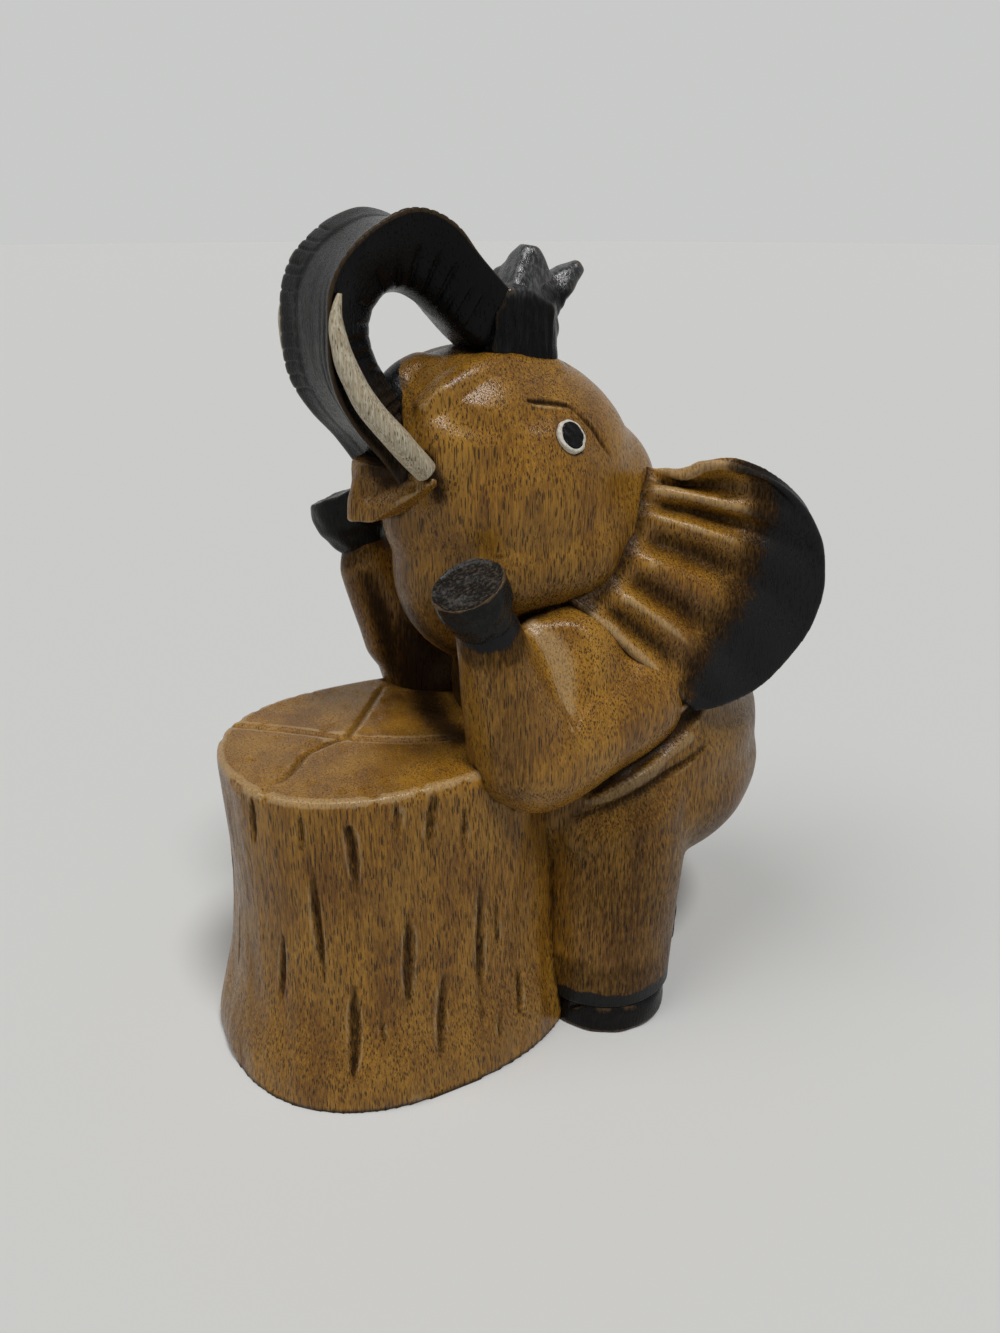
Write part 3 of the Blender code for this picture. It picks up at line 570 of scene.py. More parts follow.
def make_ears():
    """A fan of flutes from the cheek crease to the round outer margin."""
    sheet, points, fan, share = ear_sheet()
    middle = search_tree(sheet, points)
    firsts = [face.vertices[0] for face in sheet.polygons]
    fronts = [face.normal.copy() for face in sheet.polygons]
    thickness = 6.5
    thick = evaluated(sheet, ("SOLIDIFY", {"thickness": thickness, "offset": -1.0}))
    ear = Carving("carved_left_ear", reskinned(thick, 0.48, 10), "left_ear")
    fan_at, out_at, front_at, facing = [], [], [], []
    for point in ear.points:
        spot, _, face, _ = middle.find_nearest(Vector(point))
        fan_at.append(fan[firsts[face]])
        out_at.append(share[firsts[face]])
        front_at.append((Vector(point) - spot).dot(fronts[face]))
        facing.append(tuple(fronts[face]))
    fan_at, out_at, front_at = (spread(ear, np.array(values), 5)
                                for values in (fan_at, out_at, front_at))
    facing = np.stack([spread(ear, column, 5) for column in np.array(facing).T], axis=1)
    thin = np.maximum(0.68 * ease(fan_at, 0.78, 0.97), 0.3 * ease(out_at, 0.5, 1.0))
    ear.points += facing * (-np.minimum(front_at, 0) * thin)[:, None]
    ear.update()
    front = ease(front_at, -2.8, -0.8)
    valley = cut_flutes(ear, fan_at, out_at, front)
    # Painted shade in the flute valleys and at the root crease
    ear.darken_at_least(0.78 * valley * (1 - ease(out_at, 0.6, 0.9)))
    ear.darken_at_least(0.8 * (1 - ease(out_at, -0.02, 0.09)) * front)
    border = np.interp(fan_at, (0, 0.2, 0.4, 0.6, 0.8, 0.9, 1.0),
                       (0.86, 0.64, 0.57, 0.56, 0.66, 0.8, 1.0))
    ragged = out_at + waves(ear.points, 7, 62) * 0.03
    ear.paint = ease(ragged, border - 0.2, border + 0.22)
    ear.darken_at_least(0.8 * ease(ragged, border - 0.28, border))
    mirrored(ear)


def ear_sheet():
    """The ear's middle layer, its points, and their shares down the fan and out from the cheek.

    The rows of its root and margin hold a share down the fan and a place seen from the head.
    """
    root = smooth_rows(((0, 27.3, 5.2, -25.5), (0.2, 26.9, 10.9, -21.1), (0.4, 25.6, 17, -13.8),
                        (0.6, 22.8, 22.2, -5.6), (0.8, 20, 25.1, -0.5), (1, 15.1, 29, 3.9)), 10)
    margin = smooth_rows(((0, 37.5, 31, -52.5), (0.1, 38.8, 35, -52.2), (0.2, 40, 39.8, -51),
                          (0.3, 41.7, 46.8, -48), (0.4, 43.2, 53.5, -41.8), (0.5, 44.8, 58.8, -33.5),
                          (0.6, 45.3, 60.8, -24.5), (0.7, 45.3, 60.2, -16), (0.8, 44.5, 57.3, -8.5),
                          (0.87, 43, 53.3, -2.6), (0.94, 39.8, 47, 3), (1, 35.5, 39.5, 6.3)), 8)
    sheet, fan, out = flat_grid(110, 70)
    inner, outer = (np.stack([np.interp(fan, table[:, 0], table[:, axis]) for axis in (1, 2, 3)],
                             axis=1) for table in (root, margin))
    hidden = 0.22
    share = out * (1 + hidden) - hidden
    points = np.array(HEAD) + inner + (outer - inner) * share[:, None]
    swing = np.sin(math.pi * np.clip(share, 0, 1))
    points[:, 0] += swing * 1.6 - (1 - ease(share, -0.17, 0.05)) * 4.5
    bow = np.interp(fan, (0, 0.2, 0.45, 0.6, 0.8, 1), (0.2, 2.4, 3.0, 2.4, 1.2, 0)) * swing
    points += bow[:, None] * np.array((0, 0.62, 0.78))
    top = ease(fan, 0.84, 1.0)
    points[:, 2] += top * (np.sin(math.pi * np.clip((share - 0.5) / 0.5, 0, 1)) * 0.9
                           - np.sin(math.pi * np.clip(share / 0.55, 0, 1)) * 2.0)
    move_vertices(sheet, points)
    if sum(face.normal.x for face in sheet.polygons) < 0:
        sheet.flip_normals()
    return sheet, points, fan, share


def cut_flutes(ear, fan_at, out_at, front):
    """Raises the flutes and the rims. Gives back how deep in a valley each point lies."""
    flutes = 5
    reach = ease(out_at, -0.05, 0.12) * (1 - 0.6 * ease(out_at, 0.36, 0.8))
    reach *= 1 - ease(out_at, 0.86, 1.0)
    ridge = 0.5 + 0.5 * np.cos(2 * math.pi * flutes * fan_at)
    floor_at = np.interp(fan_at, (0, 0.25, 0.45, 0.8, 1), (-1.2, -0.9, -1.8, -2.0, -1.2))
    crest = np.interp(fan_at, (0, 0.1, 0.2, 0.82, 0.95), (0.5, 0.8, 1, 1, 0.6)) * 3.6
    ear.push((ridge ** 0.85 * crest + floor_at) * reach * front)
    ear.push((1 - ease(fan_at, 0.0, 0.03)) * front * (1 - ease(out_at, 0.7, 0.95)) * 0.7)
    ear.push(ease(out_at, 0.88, 0.97) * front * 0.4)
    ear.push(ease(fan_at, 0.955, 0.995) * front * ease(out_at, 0.05, 0.2) * 0.8)
    ear.push((1 - front) * 0.6 * np.sin(math.pi * flutes * fan_at) * reach)
    ear.roughen(14, 0.15, 61)
    return (1 - ridge) * reach * front


def mirrored(left):
    """Adds the right-hand twin of a left piece."""
    bm = bmesh.new()
    bm.from_mesh(left.mesh)
    bmesh.ops.scale(bm, vec=(-1.0, 1.0, 1.0), verts=bm.verts)
    bmesh.ops.reverse_faces(bm, faces=bm.faces)
    name, *nodes = (word.replace("left", "right") for word in (left.name, *left.nodes))
    right = Carving(name, to_mesh(bm), *nodes)
    right.stain_and_shade, right.paint = left.stain_and_shade.copy(), left.paint.copy()


# The arms

def make_arms():
    """Both arms and their hooves. The right one stands further forward and higher."""
    for (side, name), shift, raised, lean, depth, flare, belly, passes in (
            (SIDES[0], 0.0, 0.0, (0.15, -0.44, 0.885), 13.6, 8.3, 0.14, 5),
            (SIDES[1], 2.5, 2.0, (0.30, -0.27, 0.915), 16.4, 8.9, 0.34, 36)):
        wrist = Vector((side * 31, 0.5 - shift, STUMP_TOP + 35 + raised))
        make_arm(side, name, shift, wrist)
        lean = Matrix.Diagonal((side, 1.0, 1.0)) @ Vector(lean).normalized()
        make_hoof(name, wrist + Vector((0, 0.2, -0.2)), lean, depth, flare, belly, passes)


def make_arm(side, name, shift, wrist):
    """Upper arm and forearm in one, with a scoop cut between them."""
    across = Matrix.Diagonal((side, 1.0, 1.0))
    flip, drop = np.array((side, 1, 1)), np.array((0, shift, 0))
    elbow = across @ Vector((27, 16 + shift, STUMP_TOP))
    shoulder = across @ Vector((22.5, 42, STUMP_TOP + 7.5))
    aim = across @ Vector((0.22, -0.28, 0.93)).normalized()
    bm = bmesh.new()
    limb(bm, shoulder, elbow, 34, 31)
    ball(bm, across @ Vector((20.5, 27 + shift, STUMP_TOP + 17)), 31, 34, 34)
    limb(bm, elbow + Vector((side, -4, 1)), wrist - aim, 28, 14.5)
    limb(bm, across @ Vector((27.3, 12.6 + shift, 107)), across @ Vector((32, 16 + shift, 97)), 8.5, 9)
    arm = Carving("carved_" + name + "_arm", melt(bm, COARSE, 8, 0.56, 6), name + "_upper_arm",
                  name + "_forearm")
    arm.roughen(17, 0.2, 71)
    if side < 0:
        arm.swell(((-29, -6, 112), (-29, -3.5, 103), (-29, -1, 92)), (15, 17), 2.2)
    out, ahead, up = ((arm.points - drop) * flip).T
    cut_scoop(arm, out, ahead, up, flip, drop)
    for crack in (((30.4, 20.6, 109.1), (34.6, 22.2, 103.0)), ((34.6, 22.2, 103.0), (37, 21, 97)),
                  ((29.5, 23.0, 111.2), (29.7, 30.3, 109.9))):
        arm.gouge(np.array(crack) * flip + drop, 0.9, 0.35, stain_and_shade=0.8)
    # Painted shade under the cheek, on the arm's inner side toward the body, and on the far arm's inner
    # side
    arm.paint_shade_strip(np.array(((22, 14, 113), (24, 24, 112), (24, 34, 113))) * flip + drop, 6, 0.9)
    inside = 1 - ease(out + ahead * 0.35 + (up - 95) * 0.12, 18, 25)
    arm.darken_at_least(inside * (1 - ease(ahead, 16, 22)))
    if side < 0:
        arm.paint_shade_strip(((-22, -6, 112), (-22, -2, 100), (-24, 3, 84)), 15, 0.95)
    end = (arm.points - np.array(wrist)) @ np.array(aim)
    around = np.linalg.norm(arm.points - np.array(wrist) - end[:, None] * np.array(aim), axis=1)
    end += waves(arm.points, 7, 72) * 0.8 + side * (arm.points[:, 0] - wrist.x) * 0.3
    near = 1 - ease(around, 11, 14)
    arm.paint = ease(end, -1.0, 2.5) * near
    # Darker toward the front, over the forearm
    arm.darken_at_least(0.42 * ease(-ahead, -14, -4))
    arm.darken_at_least(0.7 * ease(end, -9, -1) * near)


def cut_scoop(arm, out, ahead, up, flip, drop):
    """A flat facet behind a keen ridge, narrower and shallower toward the elbow, lightened as a painted
    highlight, with painted shade along the ridge.
    """
    ridge = np.array(((31, 6, 119), (29.5, 12.5, 112), (32.4, 15.6, 105.7), (35.2, 16.6, 98.7),
                      (39.4, 18.4, 90.7)))
    facet = np.array((0.71, -0.22, 0.67))
    trail = smooth_rows(ridge, 5)
    ridge_out, ridge_ahead = (np.interp(-up, -trail[:, 2], trail[:, axis]) for axis in (0, 1))
    past = ahead - ridge_ahead
    gap = (ridge_out - out) * facet[0] - past * facet[1]
    wide = np.interp(up, (89, 92, 98, 105, 112), (0.5, 2.5, 8, 10.5, 12))
    sink = np.interp(up, (90, 96, 112), (0.5, 1.4, 3.0))
    here = ease(up, 89, 92) * (1 - ease(up, 110, 114)) * ease(out, 17, 22)
    scoop = ease(past, 0.0, 0.9) * (1 - ease(past, wide * 0.8, wide * 1.2)) * here
    raised = np.clip(gap, 0, 3) * ease(past, -4.5, 0) * (1 - ease(past, 0, 0.9)) * here
    arm.points += (np.clip(gap - sink, -4, 3) * scoop + raised)[:, None] * facet * flip
    # The facet paler toward the ridge: a painted highlight
    arm.rub = 1.3 * scoop * (1 - ease(past, 0.35 * wide, 1.1 * wide)) * ease(up, 90, 95)
    arm.update()
    arm.swell(ridge * flip + drop - (0, 0.8, 0), (4, 3), 0.4)
    # Painted shade in a thin line behind the ridge
    arm.paint_shade_strip((ridge + (0, 1.4, 0)) * flip + drop, 2.0, 0.35)


def make_hoof(name, start, lean, depth, flare, belly, passes):
    """A cup-like black hoof, with its rough end set a little inside the rim."""
    wrist_radius, rim_width, rim_height = 5.6, 1.0, 0.7
    turn = lean.to_track_quat("Z", "Y").to_matrix().to_4x4()
    place = Matrix.Translation(start + lean * depth / 2) @ turn
    bm = bmesh.new()
    drum(bm, place, depth, 96, wrist_radius, flare)
    bmesh.ops.recalc_face_normals(bm, faces=bm.faces)
    walls = [edge for edge in bm.edges if not any(len(face.verts) > 4 for face in edge.link_faces)]
    bmesh.ops.subdivide_edges(bm, edges=walls, cuts=3)
    for vertex in bm.verts:
        spot = place.inverted() @ vertex.co
        bulge = 1 + belly * math.cos(math.pi * spot.z / depth)
        vertex.co = place @ Vector((spot.x * bulge, spot.y * bulge, spot.z))
    caps = [face for face in bm.faces if face.normal.dot(lean) > 0.9 and len(face.verts) > 4]
    bmesh.ops.inset_region(bm, faces=caps, thickness=rim_width, depth=0.0)
    bmesh.ops.translate(bm, verts=list(caps[0].verts), vec=lean * -rim_height)
    hoof = Carving("painted_" + name + "_hoof", reskinned(to_mesh(bm), 0.36, passes),
                   name + "_fore_hoof")
    hoof.roughen(7, 0.25, 73)
    hoof.paint = ease(hoof.normals @ np.array(lean), 0.75, 0.95)


# The trunk and tusks

def make_trunk():
    """The trunk's loop: a hollowed band with a wrinkled edge outside, and teeth at the hole."""
    outer = smooth_rows(((-35, 6), (-39.5, 12.5), (-44.5, 18.5), (-48.5, 25.5), (-50, 32),
                         (-50, 39), (-49.3, 46), (-46.8, 51.5), (-42.5, 56), (-37, 59.5),
                         (-31, 61.6), (-25.5, 61), (-20, 58), (-15, 53), (-10, 48.3), (-4, 43)), 12)
    inner = smooth_rows(((-20, 13), (-24, 18), (-29.5, 23.5), (-34, 29.5), (-36, 34), (-36.6, 38),
                         (-35.8, 41.2), (-34.4, 43.2), (-33, 44.4), (-31.5, 45), (-29.3, 45.2),
                         (-27, 44.6), (-24, 42.8), (-20.5, 39.8), (-16.5, 36.5), (-12, 32)), 12)
    widths = smooth_rows([(share,) for share in (0.86, 0.92, 0.96, 1, 1, 1, 1, 1, 1, 1, 0.98, 0.96,
                                                  0.92, 0.84, 0.74, 0.66)], 12)
    mesh, along, around = flat_grid(360, 160)
    aside, out = trunk_section(around)
    run, inside = run_along(outer, along), run_along(inner, along)
    wrinkle, tick, tooth = trunk_cuts(run, inside, aside, out)
    band = ease(out, 0.86, 0.9) * (1 - ease(np.abs(aside), 0.93, 0.99))
    low = 1 - ease(run, 38, 58)
    beside_tusk = (0.9 * np.exp(-((aside - 0.72) / 0.06) ** 2)
                   + 0.6 * np.exp(-((aside - 0.45) / 0.06) ** 2)) * low
    sink = (1.5 * (1 - (aside / 0.95) ** 2) + 0.5 * np.exp(-((aside + 0.45) / 0.08) ** 2)
            + beside_tusk) * band
    level = out - (sink + wrinkle * 0.5 + tick * 0.25) / 12 + tooth * 0.03
    fuller = np.sign(aside) * np.abs(aside) ** (1 - 0.72 * ease(along, 0.78, 0.97))
    crown = 1 - 0.02 * ease(out, 0.5, 0.9) * ease(run, 88, 110)
    far, near, width = look_up(outer, along), look_up(inner, along), look_up(widths, along)[:, 0]
    middle, half = (far + near) / 2, (far - near) / 2
    move_vertices(mesh, np.stack((TRUNK_WIDTH / 2 * width * fuller * (1 - tooth * 0.05) * crown,
                                  HEAD.y + middle[:, 0] + half[:, 0] * level,
                                  HEAD.z + middle[:, 1] + half[:, 1] * level), axis=1))
    marks = {"stain_and_shade": np.maximum(wrinkle, np.maximum(tick * 0.6, tooth * 0.7)),
             # The band's mark sets its grey: dusty wear and a painted sheen
             "paint": band * ease(run, 18, 44),
             "rub": ease(fuller, 0.3, 0.5) * (1 - ease(run, 14, 44))}
    for key, values in marks.items():
        set_layer(mesh, key, values)
    bm = bmesh.new()
    bm.from_mesh(mesh)
    bmesh.ops.remove_doubles(bm, verts=bm.verts, dist=0.02)
    bmesh.ops.holes_fill(bm, edges=[edge for edge in bm.edges if edge.is_boundary])
    bmesh.ops.recalc_face_normals(bm, faces=bm.faces)
    trunk = Carving("painted_trunk", to_mesh(bm), "trunk")
    for key in marks:
        values = np.empty(len(trunk.points), np.float32)
        trunk.mesh.attributes[key].data.foreach_get("value", values)
        setattr(trunk, key, values.astype(float))
    trunk.roughen(12, 0.16, 82)


def trunk_section(around):
    """Places across and outwards, from -1 to 1, at shares of the way round the trunk."""
    side = smooth_rows(((0, -1.05), (0.42, -0.82), (0.72, -0.1), (0.92, 0.55), (0.995, 0.93)), 12)
    face = smooth_rows(((0.975, 1.0), (0.86, 0.99), (0.6, 0.93), (0.3, 0.9), (0, 0.89)), 12)
    half = np.vstack((side, face))
    section = np.vstack((half, (half * (-1, 1))[-2::-1]))
    steps = distances(np.diff(section, axis=0) * (15, 12))
    return (np.interp(around * steps[-1], steps, section[:, column]) for column in (0, 1))


def run_along(line, share):
    """How far along a line, in millimetres, the places at those shares of its points lie."""
    return np.interp(share * (len(line) - 1), np.arange(len(line)), distances(np.diff(line, axis=0)))


def trunk_cuts(run, inside, aside, out):
    """Wrinkles on the far edge outside, ticks on the near one, and teeth round the hole."""
    wrinkle, tick, tooth = np.zeros((3, len(aside)))
    draw = np.random.default_rng(81)
    for place in np.arange(22, 62, 3.1):
        spot = place + draw.uniform(-0.5, 0.5)
        cut = np.exp(-((run - spot - (aside + 1) * 1.2) / draw.uniform(0.3, 0.45)) ** 2)
        end = draw.uniform(-0.62, -0.5)
        wrinkle = np.maximum(wrinkle, cut * (1 - ease(aside, end - 0.08, end + 0.08))
                             * ease(out, 0.6, 0.95))
    for place in np.arange(48, 84, 2.4):
        spot = place + draw.uniform(-0.4, 0.4)
        cut = np.exp(-((run - spot) / 0.35) ** 2)
        tick = np.maximum(tick, cut * ease(aside, 0.8, 0.9) * ease(out, 0.8, 0.95))
    for place in np.arange(9, 60, 2.9):
        spot = place + draw.uniform(-0.6, 0.6)
        cut = np.exp(-((inside - spot) / draw.uniform(0.4, 0.65)) ** 2)
        reach = draw.uniform(-0.5, 0.35)
        tooth = np.maximum(tooth, cut * (1 - ease(out, reach - 0.3, reach + 0.3))
                           * ease(out, -1.0, -0.75))
    return wrinkle, tick, tooth


def make_trunk_tip():
    """The two blunt fingers at the trunk's end, cut in flat facets."""
    bm = bmesh.new()
    hull(bm, ((10.4, 12.5, 165), (9.8, 30.5, 164), (0, 11, 165), (-10, 15, 165), (-9, 31, 164),
              (10.8, 14.5, 179), (10.2, 29, 180), (0, 12, 178), (-10.4, 16, 178), (-9, 34, 181),
              (10.8, 17, 184.5), (10.6, 22.5, 184), (2, 35, 182), (-9.5, 18, 184.5), (-2, 32, 186)))
    hull(bm, ((10.4, 22.5, 182.2), (9.4, 19.8, 185), (8, 19.4, 186.4), (6.2, 31.4, 185.6),
              (4.6, 24.8, 193.2), (5.2, 27.8, 192.6), (1.2, 25.4, 193.2), (-1, 28.6, 191.8),
              (-5, 19, 185), (-5, 31, 185), (0, 33.2, 187.2)))
    hull(bm, ((3.5, 33, 176), (3, 36.5, 181), (-7, 33, 176), (-7.5, 37, 182), (0, 31, 185),
              (-7, 30, 184.5), (-1.2, 42.6, 189.2), (-4.2, 42.4, 189.4), (-0.6, 44.2, 187),
              (-4.6, 44.2, 186.6), (-1, 40.2, 181.5), (-6, 40, 182)))
    tip = Carving("painted_trunk_tip", melt(bm, 0.55, 9, 0.4, 5), "trunk_tip")
    tip.roughen(6, 0.25, 91)
    across, ahead, up = tip.points.T
    # The top facets grey and glossy: a painted highlight
    tip.paint = ease(up, 181, 186)
    upright = np.sin((ahead * 1.3 - across * 0.4) * 1.9 + waves(tip.points, 9, 92) * 2)
    tip.push(0.09 * upright * (1 - ease(up, 178, 184)))
    # Darker towards the bottom
    tip.stain_and_shade = 0.7 * (1 - ease(up, 177, 185))


def make_tusks():
    """Tapered tusks that lie along the sides of the trunk."""
    path = [HEAD + Vector(place) for place in
            ((17.2, -30.6, 9.4), (18.4, -37.1, 16.6), (18, -42.8, 23.4), (17, -46.3, 30.2),
             (16, -48.1, 36.6), (15.3, -48.4, 41.6), (15, -47.2, 46.2))]
    thickness = 5.5
    shares = (0.95, 1.0, 0.95, 0.85, 0.7, 0.5, 0.2)
    tusk = Carving("carved_left_tusk", rod(path, [thickness * share for share in shares], 0.3),
                   "left_tusk")
    tusk.roughen(9, 0.12, 95)
    mirrored(tusk)


# The tail

def make_tail():
    """The tail falls from the rump, and its tuft rests beside the left heel."""
    stops = ((0, 43, 14), (0, 44.5, 0), (0.5, 39.5, -15), (3, 29, -23.5), (8, 19, -31))
    path = [RUMP + Vector(place) for place in stops] + [TUFT_TOP + Vector((0, 0, 1))]
    tail = Carving("carved_tail", rod(path, (6.6, 6.0, 5.7, 5.4, 5.1, 4.8), 0.45), "tail")
    tail.paint = 1 - ease(tail.points[:, 2], 20, 25)
    bm = bmesh.new()
    middle = TUFT_TOP + Vector((3, -3, -9))
    low = TUFT_TOP + Vector((5, -4, -17))
    limb(bm, TUFT_TOP, middle, 6, 8.5)
    limb(bm, middle, low, 8.5, 6.8)
    mesh = slice_off(melt(bm, 0.8, 3, 0.5, 3), (0, 0, 0.4), (0, 0, -1))
    tuft = Carving("painted_tail_tuft", mesh, "tail_tuft")
    axis = tuft.points - np.array(middle)
    hair = np.abs(np.sin(np.arctan2(axis[:, 1], axis[:, 0]) * 6 + axis[:, 2] * 0.12))
    tuft.push(-0.5 * (1 - hair) ** 2)


# Creases and edges

def spread(carving, values, passes):
    """Evens a value out over the neighbours of each point."""
    edges = np.empty(len(carving.mesh.edges) * 2, np.int32)
    carving.mesh.edges.foreach_get("vertices", edges)
    one, two = edges.reshape(-1, 2).T
    count = len(values)
    links = np.maximum(np.bincount(one, minlength=count) + np.bincount(two, minlength=count), 1)
    for _ in range(passes):
        total = np.bincount(one, values[two], count) + np.bincount(two, values[one], count)
        values = 0.5 * values + 0.5 * total / links
    return values


def edge_convexity(carving):
    """How far each point stands out from its surroundings, as an edge does."""
    soft = np.stack([spread(carving, column, 14) for column in carving.points.T], axis=1)
    return ((carving.points - soft) * carving.normals).sum(axis=1)


def shade_creases():
    """Paints shade where rays from a point soon meet the carving again, as in creases and between parts.
    """
    points, faces, start = [], [], 0
    for carving in carvings:
        carving.mesh.calc_loop_triangles()
        corners = np.empty(len(carving.mesh.loop_triangles) * 3, np.int32)
        carving.mesh.loop_triangles.foreach_get("vertices", corners)
        faces.append(corners.reshape(-1, 3) + start)
        points.append(carving.points)
        start += len(carving.points)
    tree = BVHTree.FromPolygons(np.vstack(points).tolist(), np.vstack(faces).tolist())
    draw = np.random.default_rng(5)
    rays = 7
    reach, lift_off, outward = 7.0, 0.25, 1.02
    for carving in carvings:
        count = len(carving.points)
        found = np.zeros(count)
        begin = carving.points + carving.normals * lift_off
        for _ in range(rays):
            aim = draw.normal(size=(count, 3))
            aim /= np.linalg.norm(aim, axis=1)[:, None]
            aim += carving.normals * outward
            for index, (spot, way) in enumerate(zip(begin.tolist(), aim.tolist())):
                distance = tree.ray_cast(spot, way, reach)[3]
                if distance is not None:
                    found[index] += 1 - distance / reach
        near = spread(carving, found / rays, 6)
        carving.crease_shade = ease(near, 0.06, 0.62)


# Finishes

class Finish:
    """A material, and short ways to add nodes to it."""

    def __init__(self, name):
        self.material = bpy.data.materials.new(name)
        self.material.use_nodes = True
        self.tree = self.material.node_tree
        self.shader = self.tree.nodes["Principled BSDF"]
        coordinates = self.tree.nodes.new("ShaderNodeTexCoord")
        self.mm = self.add("ShaderNodeMapping", {0: coordinates.outputs["Object"],
                                                 3: (1000, 1000, 1000)})

    def add(self, kind, values, output=0, **settings):
        node = self.tree.nodes.new(kind)
        for key, value in settings.items():
            setattr(node, key, value)
        for key, value in values.items():
            if isinstance(value, bpy.types.NodeSocket):
                self.tree.links.new(value, node.inputs[key])
            else:
                node.inputs[key].default_value = value
        return node.outputs[output]

    def stretch(self, across, along):
        """Coordinates for a pattern of that size across and along the grain, in millimetres."""
        return self.add("ShaderNodeMapping", {0: self.mm, 3: (1 / across, 1 / across, 1 / along)})

    def noise(self, across, along, detail=3.0, roughness=0.55):
        return self.add("ShaderNodeTexNoise", {"Vector": self.stretch(across, along), "Scale": 1.0,
                                               "Detail": detail, "Roughness": roughness})

    def attribute(self, name):
        return self.add("ShaderNodeAttribute", {}, output=2, attribute_name=name)

    def math(self, kind, one, two):
        return self.add("ShaderNodeMath", {0: one, 1: two}, operation=kind)

    def plus(self, one, two):
        return self.math("ADD", one, two)

    def minus(self, one, two):
        return self.math("SUBTRACT", one, two)

    def times(self, one, two):
        return self.math("MULTIPLY", one, two)

    def larger(self, one, two):
        return self.math("MAXIMUM", one, two)

    def ease(self, value, low, high, to_low=0.0, to_high=1.0):
        return self.add("ShaderNodeMapRange", {0: value, 1: low, 2: high, 3: to_low, 4: to_high},
                        interpolation_type="SMOOTHSTEP")

    def mix(self, share, one, two):
        return self.add("ShaderNodeMix", {0: share, 6: (*one, 1) if isinstance(one, tuple) else one,
                                          7: (*two, 1) if isinstance(two, tuple) else two},
                        output=2, data_type="RGBA")

    def pores(self, across, along, size, low, high):
        """Short dark vessels in the wood, dots where the grain is cut across."""
        cell = self.tree.nodes.new("ShaderNodeTexVoronoi")
        cell.inputs["Scale"].default_value = 1.0
        self.tree.links.new(self.stretch(across, along), cell.inputs["Vector"])
        draw = self.add("ShaderNodeSeparateColor", {0: cell.outputs["Color"]})
        here = self.math("GREATER_THAN", self.ease(self.noise(9, 30, 2.0), 0.3, 0.7, low, high), draw)
        dot = self.ease(cell.outputs["Distance"], size, size * 0.6)
        return self.times(dot, here)

    def bump(self, height, distance, strength):
        self.tree.links.new(self.add("ShaderNodeBump", {"Height": height, "Distance": distance,
                                                        "Strength": strength}),
                            self.shader.inputs["Normal"])

    def set(self, **values):
        for key, value in values.items():
            socket = self.shader.inputs[key.replace("_", " ")]
            if isinstance(value, bpy.types.NodeSocket):
                self.tree.links.new(value, socket)
            else:
                socket.default_value = value


def lacquered_wood():
    """Golden-brown wood under satin lacquer, with stain and painted shade in the creases, and wear and
    painted highlights on the edges.
    """
    shade, gold, amber = (0.16, 0.062, 0.004), (0.38, 0.18, 0.017), (0.42, 0.22, 0.036)
    vessel, pale_wood = (0.022, 0.009, 0.002), (0.52, 0.36, 0.18)
    stain_and_shade, black = (0.012, 0.0055, 0.0025), (0.006, 0.0055, 0.0058)
    wood = Finish("lacquered_wood")
    streak = wood.noise(0.45, 9, 4.0)
    figure = wood.noise(9, 34, 3.0)
    tone = wood.plus(wood.times(streak, 0.55), wood.times(figure, 0.45))
    colour = wood.mix(wood.ease(tone, 0.36, 0.64), shade, gold)
    patch = wood.ease(wood.noise(16, 22, 3.0), 0.42, 0.72)
    colour = wood.mix(wood.times(patch, 0.4), colour, amber)
    dash = wood.ease(wood.noise(0.24, 4.2, 1.5, 0.5), 0.58, 0.66)
    fine = wood.pores(0.5, 5.0, 0.34, 0.55, 1.0)
    long = wood.pores(0.9, 13.0, 0.2, 0.3, 1.0)
    pore = wood.larger(wood.times(dash, 0.65), wood.larger(fine, long))
    colour = wood.mix(wood.times(pore, 0.85), colour, vessel)
    ragged = wood.times(wood.minus(wood.noise(0.6, 2.4, 4.0), 0.5), 0.7)
    # Paler where worn, and as painted highlights on standing edges and the arm scoops
    worn_and_lit = wood.ease(wood.plus(wood.attribute("wear_and_highlight"), ragged), 0.5, 1.1)
    colour = wood.mix(wood.times(worn_and_lit, 0.55), colour, pale_wood)
    # Darker with stain and painted shade
    stained_and_shaded = wood.ease(wood.plus(wood.attribute("stain_and_shade"), ragged), 0.1, 0.95)
    colour = wood.mix(wood.times(stained_and_shaded, 0.95), colour, stain_and_shade)
    speckle = wood.times(wood.minus(wood.noise(0.45, 0.9, 3.0), 0.5), 0.9)
    painted = wood.ease(wood.plus(wood.attribute("paint"), speckle), 0.36, 0.75)
    colour = wood.mix(painted, colour, black)
    rough = wood.ease(wood.plus(tone, ragged), 0.2, 0.9, 0.2, 0.32)
    shine = wood.larger(wood.ease(stained_and_shaded, 0.1, 1.0, 0.32, 0.08), wood.times(painted, 0.2))
    wood.set(Base_Color=colour, Roughness=wood.plus(rough, wood.times(stained_and_shaded, 0.15)),
             Specular_IOR_Level=shine)
    skin = wood.plus(wood.times(wood.noise(0.4, 4, 4.0), 0.5),
                     wood.times(wood.noise(0.55, 0.7, 2.0), 0.5))
    wood.bump(wood.minus(skin, pore), 0.00017, 0.85)
    return wood.material


